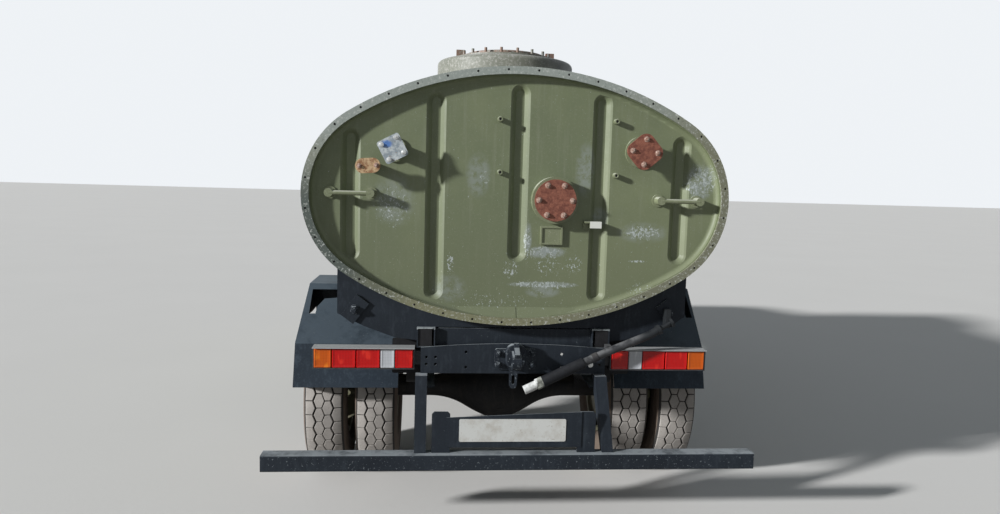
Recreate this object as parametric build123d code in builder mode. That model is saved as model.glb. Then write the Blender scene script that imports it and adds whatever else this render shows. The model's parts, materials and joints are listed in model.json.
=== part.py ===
from build123d import *
import os
from math import atan2, cos, pi, sin, sqrt

os.makedirs("parts", exist_ok=True)

# Tanker truck, in millimetres: +X is the truck's left, +Y its rear, +Z up, wheels stand on Z = 0

# Whole vehicle
wheelbase = 3700
front_overhang = 880
rear_overhang = 1000
overall_length = front_overhang + wheelbase + rear_overhang
front_y = -overall_length / 2
rear_y = overall_length / 2
front_axle_y = front_y + front_overhang
rear_axle_y = front_axle_y + wheelbase
seat_gap = 0.3
running_gap = 0.05
swing_gap = 8

# Tyres, rims and axles
tyre_radius = 478
tyre_width = 236
tread_width = 188
bead_radius = 254
rim_flange_radius = 275
rim_width = 194
rim_sheet = 8
disc_offset = 138
disc_sheet = 10
hub_flange_radius = 168
hand_hole_radius = 24
hand_hole_ring = 199
hand_hole_count = 6
front_track = 1630
rear_track = 1690
dual_spacing = 2 * disc_offset
axle_z = tyre_radius
front_wheel_x = front_track / 2
rear_wheel_x = rear_track / 2
king_pin_x = 740
king_pin_radius = 16
stub_radius = 25
spindle_radius = 45
steering_arm = 170

# Chassis frame
rail_outer_x = 455
rail_flange = 65
rail_height = 200
rail_sheet = 7
rail_top_z = 900
rail_bottom_z = rail_top_z - rail_height
rail_inner_x = rail_outer_x - rail_flange
rail_front_y = front_y + 150
cross_beam_rear_y = rear_y - 145
cross_beam_sheet = 8
cross_beam_half = 460
cross_beam_top_z = 925
cross_beam_rise = 22
cross_beam_bottom_z = 775
cross_beam_flange = 60
rail_rear_y = cross_beam_rear_y - cross_beam_sheet
member_height = 120
member_half = rail_outer_x - rail_sheet
beam_x = 436
beam_width = 90
beam_height = 100
beam_sheet = 6
beam_top_z = rail_top_z + beam_height
beam_rear_y = rear_y - 155

# Underrun guard, plate and hook
bar_length = 2400
bar_size = 80
bar_bottom_z = 332
bar_top_z = bar_bottom_z + bar_size
post_x = 455
post_width = 57
post_depth = 60
right_post_foot_x = 464
right_post_head_x = 430
post_top_z = cross_beam_bottom_z
post_foot_y = rear_y - 45
plate_length = 520
plate_height = 112
plate_sheet = 3

# Tank
tank_width = 2056
tank_height = 1235
tank_side_radius = 450
tank_bottom_z = 1028
tank_center_z = tank_bottom_z + tank_height / 2
tank_rear_y = rear_y - 85
tank_cab_gap = 275
cab_depth = 1110
cab_front_y = front_y + 1330
cab_rear_y = cab_front_y + cab_depth
tank_length = tank_rear_y - cab_rear_y - tank_cab_gap
tank_front_y = tank_rear_y - tank_length
rim_face = 30
rim_sheet_y = 10
tank_wall = 6
recess_depth = 45
cove_radius = 26
head_sheet = 34
groove_width = 94
groove_pitch = 400
groove_shift = 5
rim_hole_radius = 5.5
holes_per_quarter = 9
ledge_high_z = tank_bottom_z + 85
ledge_low_z = tank_bottom_z + 19
ledge_seam = 3

# Filler dome and lid
dome_y = tank_rear_y - 1000
dome_radius = 401
dome_rise = 157
dome_shoulder_z = tank_bottom_z + tank_height + dome_rise
dome_ring_radius = 293
dome_ring_height = 25
dome_top_z = dome_shoulder_z + dome_ring_height
lid_radius = 235
lid_height = 18
lid_seat_height = 4
lid_hinge_y = dome_y - lid_radius - 30
lid_pin_z = dome_top_z + 24

# Cab and nose
cab_floor_z = 960
cab_half = 970
cab_wall = 45
belt_z = 1520
roof_z = 2225
wing_top_z = 1190
wing_half = 1140
sheet_wall = 20
arch_radius = 545
bonnet_front_y = front_y + 175
bonnet_rear_y = cab_front_y - swing_gap
bonnet_floor_z = wing_top_z + swing_gap
bonnet_front_half = 440
bonnet_rear_half = 600
bonnet_rear_z = 1505
bonnet_middle_z = 1450
bonnet_shoulder_z = 1335
bonnet_nose_z = 1255
bonnet_nose_slope = 70
bonnet_edge_radius = 60
hinge_radius = 8
barrel_radius = 14
bonnet_hinge_x = 380
bonnet_pin_z = bonnet_rear_z + barrel_radius + 2
door_front_y = front_y + 1440
door_rear_y = front_y + 2300
door_hinge_x = cab_half + barrel_radius + 1


# Helpers
def block(x, y, z, mode=Mode.ADD):
    """A box that spans the two values of each pair."""
    center = ((x[0] + x[1]) / 2, (y[0] + y[1]) / 2, (z[0] + z[1]) / 2)
    with Locations(center):
        Box(abs(x[1] - x[0]), abs(y[1] - y[0]), abs(z[1] - z[0]), mode=mode)


def tube_x(y, z, x, radius, mode=Mode.ADD):
    """A cylinder along X between the two values of x."""
    with BuildSketch(Plane.YZ.offset(x[0])) as section:
        with Locations((y, z)):
            Circle(radius)
    extrude(section.sketch, amount=x[1] - x[0], mode=mode)


def tube_y(x, z, y, radius, mode=Mode.ADD):
    """A cylinder along Y between the two values of y."""
    with BuildSketch(Plane.XZ.offset(-y[1])) as section:
        with Locations((x, z)):
            Circle(radius)
    extrude(section.sketch, amount=y[1] - y[0], mode=mode)


def tube_z(x, y, z, radius, mode=Mode.ADD):
    """A cylinder along Z between the two values of z."""
    with BuildSketch(Plane.XY.offset(z[0])) as section:
        with Locations((x, y)):
            Circle(radius)
    extrude(section.sketch, amount=z[1] - z[0], mode=mode)


def save(builder, name):
    """Labels a finished piece and writes its STEP file."""
    builder.part.label = name
    export_step(builder.part, f"parts/{name}.step")


def mirrored(builder):
    """The same piece on the other side of the truck."""
    with BuildPart() as other:
        mirror(builder.part, about=Plane.YZ)
    return other


# Chassis rails and cross members
with BuildPart() as frame_rails:
    with BuildSketch(Plane.XZ.offset(-rail_rear_y)):
        with Locations(((rail_inner_x + rail_outer_x) / 2, rail_top_z - rail_height / 2)):
            Rectangle(rail_flange, rail_height)
        with Locations(
            ((rail_inner_x + rail_outer_x - 2 * rail_sheet) / 2, rail_top_z - rail_height / 2)
        ):
            Rectangle(rail_flange, rail_height - 2 * rail_sheet, mode=Mode.SUBTRACT)
        with Locations((rail_outer_x - rail_sheet / 2, rail_top_z - rail_height / 2)):
            Rectangle(rail_sheet, rail_height)
    extrude(amount=rail_rear_y - rail_front_y)
    mirror(about=Plane.YZ)
save(frame_rails, "frame_rails")

# Columns: distance from the bumper, lowest height
cross_member_table = [
    (240, 720),
    (1850, 765),
    (2900, 735),
    (3650, 735),
    (4300, 735),
]
with BuildPart() as frame_cross_members:
    for distance, low_z in cross_member_table:
        member_y = front_y + distance
        block((-member_half, member_half), (member_y - 3, member_y + 3), (low_z, low_z + member_height))
        for edge_z in (low_z, low_z + member_height - 6):
            block((-member_half, member_half), (member_y, member_y + 55), (edge_z, edge_z + 6))
save(frame_cross_members, "frame_cross_members")

# Rear cross beam: a channel with a bowed top and punched holes
# Columns: x, z of each hole
beam_hole_radius = 7
hole_pair_x = 45
hole_pair_z = 35
hole_group_x = 410
hole_group_z = 838
beam_hole_table = [
    (238, 882),
    (238, 806),
    (90, 872),
    (90, 814),
    (-240, 874),
    (-240, 806),
]
with BuildPart() as rear_cross_beam:
    with BuildSketch(Plane.XZ.offset(-cross_beam_rear_y)):
        with BuildLine():
            Polyline(
                (-cross_beam_half, cross_beam_top_z - cross_beam_rise),
                (-cross_beam_half, cross_beam_bottom_z),
                (cross_beam_half, cross_beam_bottom_z),
                (cross_beam_half, cross_beam_top_z - cross_beam_rise),
            )
            ThreePointArc(
                (cross_beam_half, cross_beam_top_z - cross_beam_rise),
                (0, cross_beam_top_z),
                (-cross_beam_half, cross_beam_top_z - cross_beam_rise),
            )
        make_face()
    extrude(amount=cross_beam_sheet)
    block(
        (-rail_inner_x + 2, rail_inner_x - 2),
        (cross_beam_rear_y - cross_beam_flange, cross_beam_rear_y - cross_beam_sheet),
        (cross_beam_bottom_z, cross_beam_bottom_z + 7),
    )
    with BuildSketch(Plane.XZ.offset(-cross_beam_rear_y)):
        with Locations(*beam_hole_table):
            Circle(beam_hole_radius)
        for side in (-1, 1):
            with Locations((side * hole_group_x, hole_group_z)):
                with GridLocations(hole_pair_x, hole_pair_z, 2, 2):
                    Circle(beam_hole_radius)
    extrude(amount=cross_beam_sheet, mode=Mode.SUBTRACT)
save(rear_cross_beam, "rear_cross_beam")

# Tow hook: a bolted base and boss, a hook that the latch closes to an eye, and a hanging strap
hook_x = -6
hook_z = 850
hook_plate = 12
hook_plate_width = 206
hook_plate_height = 104
hook_boss_width = 100
hook_boss_height = 122
hook_boss_z = 869
hook_boss_depth = 27
hook_half = 22
hook_eye = 21
hook_bar = 19
hook_y = cross_beam_rear_y + hook_plate + 52
latch_top_z = 938
strap_low_z = 715
strap_reach = (-10, 34)
strap_sheet = 8
with BuildPart() as tow_hook:
    with BuildSketch(Plane.XZ.offset(-cross_beam_rear_y - hook_plate)):
        with Locations((hook_x, hook_z)):
            RectangleRounded(hook_plate_width, hook_plate_height, 14)
    extrude(amount=hook_plate)
    with BuildSketch(Plane.XZ.offset(-cross_beam_rear_y - hook_plate - hook_boss_depth)):
        with Locations((hook_x, hook_boss_z)):
            RectangleRounded(hook_boss_width, hook_boss_height, 42)
    extrude(amount=hook_boss_depth)
    fillet(tow_hook.faces().sort_by(Axis.Y)[-1].edges(), 9)
    with BuildSketch(Plane.YZ.offset(hook_x - hook_half)):
        with Locations((hook_y, hook_z)):
            Circle(hook_eye + hook_bar)
        Polygon(
            (cross_beam_rear_y + hook_plate, hook_z - 48),
            (hook_y, hook_z - hook_eye - hook_bar),
            (hook_y, hook_z + hook_eye + hook_bar),
            (cross_beam_rear_y + hook_plate, hook_z + 56),
            align=None,
        )
        with Locations((hook_y, hook_z)):
            Circle(hook_eye, mode=Mode.SUBTRACT)
    extrude(amount=2 * hook_half)
    # latch: a lever above the eye
    with BuildSketch(Plane.YZ.offset(hook_x - 12)):
        Polygon(
            (cross_beam_rear_y + hook_plate + 8, hook_z + 40),
            (hook_y + 12, hook_z + hook_eye + hook_bar - 8),
            (hook_y + 34, hook_z + hook_eye + 4),
            (hook_y + 40, hook_z + hook_eye + 22),
            (hook_y, latch_top_z - 18),
            (hook_y - 8, latch_top_z),
            (hook_y - 26, latch_top_z),
            (cross_beam_rear_y + hook_plate + 8, hook_z + 72),
            align=None,
        )
        with Locations((hook_y, hook_z)):
            Circle(hook_eye + 2, mode=Mode.SUBTRACT)
    extrude(amount=24)
    # strap that hangs below the hook
    with BuildSketch(Plane.XZ.offset(-hook_y + 8)) as section:
        Polygon(
            (hook_x + strap_reach[0], hook_z - hook_eye - 4),
            (hook_x + strap_reach[1], hook_z - hook_eye - 4),
            (hook_x + strap_reach[1] - 2, strap_low_z + 14), (hook_x + strap_reach[1] - 12, strap_low_z),
            (hook_x + strap_reach[0] + 14, strap_low_z), (hook_x + strap_reach[0] + 5, strap_low_z + 14),
            align=None,
        )
        with Locations((hook_x + (strap_reach[0] + strap_reach[1]) / 2 + 1, strap_low_z + 44)):
            SlotOverall(46, 15, rotation=90, mode=Mode.SUBTRACT)
    extrude(section.sketch, amount=strap_sheet)
save(tow_hook, "tow_hook")

# Underrun guard: a square bar on two sloping posts
with BuildPart() as underrun_bar:
    block((-bar_length / 2, bar_length / 2), (rear_y - bar_size, rear_y), (bar_bottom_z, bar_top_z))
    fillet(underrun_bar.edges().filter_by(Axis.X), 8)
save(underrun_bar, "underrun_bar")

with BuildPart() as underrun_posts:
    with BuildSketch(Plane.YZ.offset(-2 * post_x)):
        Polygon(
            (rail_rear_y, rail_bottom_z - 20),
            (rail_rear_y, post_top_z),
            (rail_rear_y + post_depth, post_top_z),
            (post_foot_y + post_depth / 2 - 12, bar_top_z),
            (post_foot_y - post_depth / 2 + 8, bar_top_z),
            align=None,
        )
    extrude(amount=4 * post_x)
    with BuildSketch(Plane.XZ.offset(-rear_y)):
        for foot_x, head_x in ((post_x, post_x), (-right_post_foot_x, -right_post_head_x)):
            Polygon(
                (foot_x - post_width / 2, bar_top_z), (foot_x + post_width / 2, bar_top_z),
                (head_x + post_width / 2, post_top_z), (head_x - post_width / 2, post_top_z),
                align=None,
            )
    extrude(amount=400, mode=Mode.INTERSECT)
save(underrun_posts, "underrun_posts")

# Number plate on a backing panel, between two upright brackets
plate_z = bar_top_z + 57
plate_y = rear_y - 24
bracket_reach = (312, 400)
bracket_top_z = bar_top_z + 204
panel_half = 330
panel_low_z = bar_top_z + 28
panel_left_z = bar_top_z + 176
panel_right_z = bar_top_z + 204
with BuildPart() as number_plate:
    with BuildSketch(Plane.XZ.offset(-plate_y)):
        with Locations((8, plate_z + plate_height / 2)):
            RectangleRounded(plate_length, plate_height, 8)
    extrude(amount=plate_sheet)
save(number_plate, "number_plate")

with BuildPart() as plate_bracket:
    panel_face = plate_y - plate_sheet
    with BuildSketch(Plane.XZ.offset(-panel_face)):
        Polygon(
            (-panel_half, panel_low_z), (panel_half, panel_low_z), (panel_half, panel_left_z),
            (-panel_half, panel_right_z), align=None,
        )
    extrude(amount=4)
    for side in (-1, 1):
        edges = sorted((side * bracket_reach[0], side * bracket_reach[1]))
        with BuildSketch(Plane.XZ.offset(-panel_face + 4)):
            Polygon(
                (edges[0], bar_top_z), (edges[1], bar_top_z), (edges[1], bracket_top_z - 12),
                (edges[1] - 12, bracket_top_z), (edges[0] + 12, bracket_top_z),
                (edges[0], bracket_top_z - 12), align=None,
            )
        extrude(amount=6)
        block(edges, (panel_face - 40, panel_face - 4), (bar_top_z, bar_top_z + 6))
save(plate_bracket, "plate_bracket")


# Tank: an oval of four tangent arcs
def oval_top_radius(half_w, half_h, side_radius):
    """The radius of the top arc that meets the side arc without a corner."""
    return (half_w**2 - 2 * half_w * side_radius + half_h**2) / (2 * (half_h - side_radius))


def oval(width, height, side_radius):
    """The four-arc oval as a face in the current sketch."""
    half_w = width / 2
    half_h = height / 2
    top_radius = oval_top_radius(half_w, half_h, side_radius)
    reach = top_radius - side_radius
    join_x = (half_w - side_radius) * top_radius / reach
    join_z = side_radius * (top_radius - half_h) / reach
    with BuildLine() as outline:
        ThreePointArc((-join_x, join_z), (0, half_h), (join_x, join_z))
        ThreePointArc((join_x, join_z), (half_w, 0), (join_x, -join_z))
        ThreePointArc((join_x, -join_z), (0, -half_h), (-join_x, -join_z))
        ThreePointArc((-join_x, -join_z), (-half_w, 0), (-join_x, join_z))
    make_face(outline.edges())


def tank_plane(y):
    """The plane across the tank at y, with its origin on the tank's axis."""
    return Plane(origin=(0, y, tank_center_z), x_dir=(1, 0, 0), z_dir=(0, -1, 0))


def tank_oval(y, inset):
    """A face across the tank at y, inset from the rim's outline."""
    with BuildSketch(tank_plane(y)) as section:
        oval(tank_width - 2 * inset, tank_height - 2 * inset, tank_side_radius - inset)
    return section.sketch


def quarter_points(inset, count):
    """Evenly spaced points along a quarter of the inset oval, x and z from the tank's axis."""
    half_w = tank_width / 2 - inset
    half_h = tank_height / 2 - inset
    radius = tank_side_radius - inset
    top_radius = oval_top_radius(half_w, half_h, radius)
    turn = atan2(top_radius - half_h, half_w - radius)
    side_length = radius * turn
    step = (side_length + top_radius * (pi / 2 - turn)) / count
    points = []
    for index in range(count):
        along = (index + 0.5) * step
        if along < side_length:
            angle = along / radius
            points.append((half_w - radius + radius * cos(angle), radius * sin(angle)))
        else:
            angle = turn + (along - side_length) / top_radius
            points.append((top_radius * cos(angle), half_h - top_radius + top_radius * sin(angle)))
    return points


# Five pressed grooves in each head
# Columns: x in pitches from the middle, lower and upper end from the tank's axis
groove_table = [
    (-2, -318, 312),
    (-1, -503, 493),
    (0, -312, 540),
    (1, -506, 508),
    (2, -310, 320),
]


# A groove's cross-section, from the head's face down
# Columns: start depth, end depth, inset of the outline at the start, slope of the flank
groove_steps = [(0, 5, 0, 61), (5, 24, 9, 43)]


def press_grooves(plane):
    """Presses the grooves into the head that lies on the plane, against its normal."""
    for pitch, low, high in groove_table:
        for start, end, inset, slope in groove_steps:
            with BuildSketch(plane.offset(-start)) as section:
                with Locations((pitch * groove_pitch - groove_shift, (low + high) / 2)):
                    SlotOverall(high - low - 2 * inset, groove_width - 2 * inset, rotation=90)
            extrude(section.sketch, amount=start - end, taper=slope, mode=Mode.SUBTRACT)


head_y = tank_rear_y - recess_depth
front_head_y = tank_front_y + recess_depth
head_inset = rim_face + tank_wall
with BuildPart() as tank_shell:
    extrude(tank_oval(tank_rear_y, rim_face), amount=tank_length)
    extrude(tank_oval(tank_rear_y, 0), amount=rim_sheet_y)
    extrude(tank_oval(tank_front_y + rim_sheet_y, 0), amount=rim_sheet_y)
    extrude(tank_oval(tank_rear_y, head_inset), amount=recess_depth + head_sheet, mode=Mode.SUBTRACT)
    extrude(tank_oval(front_head_y, head_inset), amount=recess_depth, mode=Mode.SUBTRACT)
    press_grooves(Plane(origin=(0, front_head_y, tank_center_z), x_dir=(1, 0, 0), z_dir=(0, -1, 0)))
    with BuildSketch(tank_plane(tank_rear_y)) as section:
        for hole_x, hole_z in quarter_points(rim_face / 2, holes_per_quarter):
            with Locations((hole_x, hole_z), (hole_x, -hole_z), (-hole_x, hole_z), (-hole_x, -hole_z)):
                Circle(rim_hole_radius)
    extrude(section.sketch, amount=rim_sheet_y, mode=Mode.SUBTRACT)
save(tank_shell, "tank_shell")

# Rear head with its ledge and grooves
with BuildPart() as head_ledge:
    extrude(tank_oval(tank_rear_y - 2, head_inset), amount=recess_depth + 2)
    with BuildSketch(Plane.YZ.offset(-tank_width / 2)) as section:
        Polygon(
            (head_y - 5, ledge_high_z), (head_y, ledge_high_z), (tank_rear_y, ledge_low_z),
            (tank_rear_y, tank_bottom_z), (head_y - 5, tank_bottom_z),
            align=None,
        )
    extrude(section.sketch, amount=tank_width, mode=Mode.INTERSECT)
    block(
        (-ledge_seam / 2, ledge_seam / 2), (head_y, tank_rear_y), (tank_bottom_z, ledge_high_z),
        mode=Mode.SUBTRACT,
    )

with BuildPart() as tank_rear_head:
    extrude(tank_oval(head_y + cove_radius, head_inset), amount=head_sheet + cove_radius)
    extrude(tank_oval(head_y + cove_radius, head_inset + 3), amount=cove_radius, mode=Mode.SUBTRACT)
    fillet(
        tank_rear_head.edges().filter_by(lambda edge: abs(edge.center().Y - head_y) < 0.1), cove_radius - 2
    )
    add(head_ledge.part)
    press_grooves(Plane(origin=(0, head_y, tank_center_z), x_dir=(-1, 0, 0), z_dir=(0, 1, 0)))
save(tank_rear_head, "tank_rear_head")

# Fittings on the head that are painted with it
cover_x = 604
cover_z = 1860
cover_reach = 86
oval_flange_x = 716
oval_flange_z = 1779
oval_reach = 84
round_cover_x = -169
round_cover_z = 1640
round_reach = 52
diamond_x = -588
diamond_z = 1882
diamond_reach = 72
handle_x = 792
handle_shift = 11
handle_z = 1650
handle_length = 232
handle_reach = 58
# Columns: x, z of each stud
stud_table = [(103, 2017), (98, 1766), (-460, 2024), (-466, 1766)]
with BuildPart() as head_fittings:
    tube_y(cover_x, cover_z, (head_y, head_y + cover_reach), 38)
    tube_y(cover_x, cover_z, (head_y, head_y + 12), 60)
    tube_y(oval_flange_x, oval_flange_z, (head_y, head_y + oval_reach), 26)
    tube_y(round_cover_x, round_cover_z, (head_y, head_y + round_reach), 112)
    tube_y(diamond_x, diamond_z, (head_y, head_y + diamond_reach), 56)
    tube_y(diamond_x, diamond_z, (head_y, head_y + 14), 76)
    for side in (-1, 1):
        middle_x = side * handle_x + handle_shift
        for end in (-1, 1):
            foot_x = middle_x + end * (handle_length / 2 - 20)
            tube_y(foot_x, handle_z, (head_y, head_y + handle_reach + 10), 20)
            tube_y(foot_x, handle_z, (head_y, head_y + 6), 30)
        half_grip = handle_length / 2 - 20
        tube_x(head_y + handle_reach, handle_z, (middle_x - half_grip, middle_x + half_grip), 11)
    for stud_x, stud_z in stud_table:
        tube_y(stud_x, stud_z, (head_y, head_y + 30), 13)
    # small frame for a plate, left blank
    block((-216, -108), (head_y, head_y + 16), (1424, 1512))
    block((-208, -116), (head_y + 10, head_y + 16), (1432, 1504), mode=Mode.SUBTRACT)
    # angle bracket
    block((-400, -318), (head_y, head_y + 46), (1534, 1542))
    block((-343, -318), (head_y, head_y + 8), (1502, 1542))
    block((-400, -343), (head_y + 38, head_y + 46), (1510, 1542))
save(head_fittings, "head_fittings")

# Bolted covers on the head
cover_sheet = 14
with BuildPart() as head_covers:
    with BuildSketch(Plane.XZ.offset(-head_y - cover_reach - cover_sheet)):
        with Locations((cover_x, cover_z)):
            RectangleRounded(112, 112, 12, rotation=-28)
    extrude(amount=cover_sheet)
    with BuildSketch(Plane.XZ.offset(-head_y - oval_reach - cover_sheet)):
        with Locations((oval_flange_x, oval_flange_z)):
            SlotOverall(115, 69, rotation=-4)
    extrude(amount=cover_sheet)
    tube_y(round_cover_x, round_cover_z, (head_y + round_reach, head_y + round_reach + cover_sheet), 100)
    with BuildSketch(Plane.XZ.offset(-head_y - diamond_reach - cover_sheet)):
        with Locations((diamond_x, diamond_z)):
            RectangleRounded(146, 146, 42, rotation=49)
    extrude(amount=cover_sheet)
save(head_covers, "head_covers")

# Filler dome: a neck that meets the shell, a bolted ring and clamp lugs
dome_stud_step = 20
dome_stud_ring = 264
dome_stud_height = 30
lug_height = 46
with BuildPart() as filler_dome:
    tube_z(0, dome_y, (tank_center_z + tank_height / 4, dome_shoulder_z), dome_radius)
    fillet(filler_dome.edges().group_by(Axis.Z)[-1], 26)
    tube_z(0, dome_y, (dome_shoulder_z, dome_top_z), dome_ring_radius)
    add(tank_shell.part, mode=Mode.SUBTRACT)
    tube_z(0, dome_y, (dome_top_z, dome_top_z + lid_seat_height), lid_radius + 8)
    for angle in range(0, 360, dome_stud_step):
        if abs(angle - 270) > dome_stud_step:
            across = dome_stud_ring * cos(angle * pi / 180)
            along = dome_stud_ring * sin(angle * pi / 180)
            tube_z(across, dome_y + along, (dome_top_z - 1, dome_top_z + dome_stud_height), 8)
    for side in (-1, 1):
        lug_x = side * (lid_radius + 32)
        block(
            (lug_x - 25, lug_x + 25), (dome_y - 18, dome_y + 18),
            (dome_top_z - 1, dome_top_z + lug_height),
        )
        block(
            (side * 60 - 12, side * 60 + 12),
            (lid_hinge_y - 20, lid_hinge_y + 16),
            (dome_top_z - 1, lid_pin_z + 15),
        )
    tube_x(lid_hinge_y, lid_pin_z, (-90, 90), hinge_radius + running_gap, mode=Mode.SUBTRACT)
save(filler_dome, "filler_dome")

with BuildPart() as hatch_lid:
    lid_z = dome_top_z + lid_seat_height + seat_gap
    tube_z(0, dome_y, (lid_z, lid_z + lid_height), lid_radius)
    fillet(hatch_lid.edges().group_by(Axis.Z)[-1], 8)
    tube_x(lid_hinge_y, lid_pin_z, (-80, 80), hinge_radius)
    tube_x(lid_hinge_y, lid_pin_z, (-46, 46), barrel_radius)
    block((-44, 44), (lid_hinge_y, dome_y - lid_radius + 20), (lid_z + 6, lid_z + 16))
save(hatch_lid, "hatch_lid")

# Tank beams on the rails with ties between them, and saddles that carry the shell
saddle_width = 70
# Distances of the saddles from the tank's rear face
saddle_table = [130, 1390, tank_length - 130]
tie_gap_z = 6
with BuildPart() as tank_beams:
    with BuildSketch(Plane.XZ.offset(-beam_rear_y)):
        with Locations((beam_x, rail_top_z + beam_height / 2)):
            Rectangle(beam_width, beam_height)
            Rectangle(beam_width - 2 * beam_sheet, beam_height - 2 * beam_sheet, mode=Mode.SUBTRACT)
    extrude(amount=beam_rear_y - tank_front_y)
    mirror(about=Plane.YZ)
    for distance in saddle_table:
        tie_y = tank_rear_y - distance
        with BuildSketch(Plane.YZ.offset(-beam_x + beam_width / 2 - 1)) as section:
            with Locations((tie_y, rail_top_z + beam_height / 2)):
                Rectangle(saddle_width, beam_height - 2 * tie_gap_z)
            with Locations((tie_y - beam_sheet, rail_top_z + beam_height / 2)):
                Rectangle(saddle_width, beam_height - 2 * tie_gap_z - 2 * beam_sheet, mode=Mode.SUBTRACT)
        extrude(section.sketch, amount=2 * beam_x - beam_width + 2)
save(tank_beams, "tank_beams")

saddle_top_z = tank_center_z - tank_height / 4
saddle_half = 869
# Columns: x, z of the saddle's lower edge, from the beam outwards
saddle_edge = [
    (beam_x + beam_width / 2, beam_top_z),
    (beam_x + beam_width / 2, beam_top_z - 68),
    (589, beam_top_z - 55),
    (737, beam_top_z - 1),
    (saddle_half, beam_top_z + 62),
]
rear_saddle_y = tank_rear_y - saddle_table[0] + saddle_width / 2
saddle_lug_x = 783
saddle_lug_z = 1084
saddle_lug_sheet = 12
with BuildPart() as tank_saddles:
    for distance in saddle_table:
        saddle_y = tank_rear_y - distance
        with BuildSketch(Plane.XZ.offset(-saddle_y - saddle_width / 2)):
            Polygon(
                *[(-x, z) for x, z in reversed(saddle_edge)], *saddle_edge,
                (saddle_half, saddle_top_z), (-saddle_half, saddle_top_z),
                align=None,
            )
        extrude(amount=saddle_width)
    extrude(tank_oval(tank_rear_y, rim_face), amount=tank_length, mode=Mode.SUBTRACT)
    for side in (-1, 1):
        with BuildSketch(Plane.XZ.offset(-rear_saddle_y - saddle_lug_sheet)):
            with Locations((side * saddle_lug_x, saddle_lug_z)):
                Rectangle(75, 125, rotation=side * 37)
        extrude(amount=saddle_lug_sheet)
save(tank_saddles, "tank_saddles")

# Rear mudguards: bent sheet over each pair of wheels
guard_inner_x = 580
guard_outer_x = 1130
guard_sheet = 5
# Columns: distance behind the axle, height
guard_profile = [(598, 627), (498, 835), (184, 1112)]
# Columns: x, z of the cut-out's corners, seen from behind
guard_cut = [(1080, 1088), (1080, 972), (1046, 972), (1040, 1006), (1008, 1042), (900, 1050), (900, 1088)]
# Columns: x, z of the outline seen from behind; the right guard leans in at its foot
guard_front_outline = [
    (1121, 600), (1128, 845), (1100, 1130), (-1102, 1130), (-1091, 849), (-1076, 600),
]
with BuildPart() as rear_mudguards:
    outline = [(rear_axle_y + along, z) for along, z in guard_profile]
    outline += [(rear_axle_y - along, z) for along, z in reversed(guard_profile)]
    with BuildSketch(Plane.YZ.offset(guard_inner_x)):
        with BuildLine():
            guard_line = Polyline(*outline)
            offset(guard_line, amount=guard_sheet, side=Side.RIGHT)
        make_face()
    extrude(amount=guard_outer_x - guard_inner_x)
    with BuildSketch(Plane.XZ.offset(-rear_axle_y - 420)):
        Polygon(*guard_cut, align=None)
    extrude(amount=230, mode=Mode.SUBTRACT)
    for along in (-150, 150):
        block(
            (beam_x + beam_width / 2, guard_inner_x + 20),
            (rear_axle_y + along - 30, rear_axle_y + along + 30),
            (beam_top_z - 28, beam_top_z),
        )
        block(
            (guard_inner_x, guard_inner_x + 20),
            (rear_axle_y + along - 30, rear_axle_y + along + 30),
            (beam_top_z - 28, guard_profile[-1][1] + 1),
        )
    mirror(about=Plane.YZ)
    with BuildSketch(Plane.XZ.offset(-rear_axle_y - 700)) as section:
        Polygon(*guard_front_outline, align=None)
    extrude(section.sketch, amount=1400, mode=Mode.INTERSECT)
save(rear_mudguards, "rear_mudguards")

# Rear lamps: a housing with a visor and five chambers
lamp_inner_x = 490
lamp_outer_x = 985
lamp_depth = 62
lamp_face_y = rear_y - 165
lamp_low_z = 788
lamp_high_z = 897
lamp_rim = 6
lens_sheet = 16
# Columns: name, width from the outer end
lens_table = [("amber", 87), ("red", 118), ("red", 117), ("clear", 72), ("red", 89)]
with BuildPart() as lamp_housings:
    block((lamp_inner_x, lamp_outer_x), (lamp_face_y - lamp_depth, lamp_face_y), (lamp_low_z, lamp_high_z))
    block(
        (lamp_inner_x + lamp_rim, lamp_outer_x - lamp_rim),
        (lamp_face_y - lens_sheet, lamp_face_y),
        (lamp_low_z + lamp_rim, lamp_high_z - lamp_rim),
        mode=Mode.SUBTRACT,
    )
    block((lamp_inner_x, lamp_outer_x), (lamp_face_y, lamp_face_y + 18), (lamp_high_z - 4, lamp_high_z))
    block(
        (rail_outer_x, lamp_inner_x),
        (lamp_face_y - lamp_depth, lamp_face_y - 22),
        (lamp_low_z + 20, lamp_high_z - 20),
    )
    mirror(about=Plane.YZ)
save(lamp_housings, "lamp_housings")

with BuildPart() as lamp_lenses:
    lens_x = lamp_outer_x - lamp_rim
    for lens_name, lens_width in lens_table:
        block(
            (lens_x - lens_width + 1, lens_x),
            (lamp_face_y - lens_sheet, lamp_face_y + 6),
            (lamp_low_z + lamp_rim, lamp_high_z - lamp_rim),
        )
        lens_x -= lens_width
    mirror(about=Plane.YZ)
save(lamp_lenses, "lamp_lenses")

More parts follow.
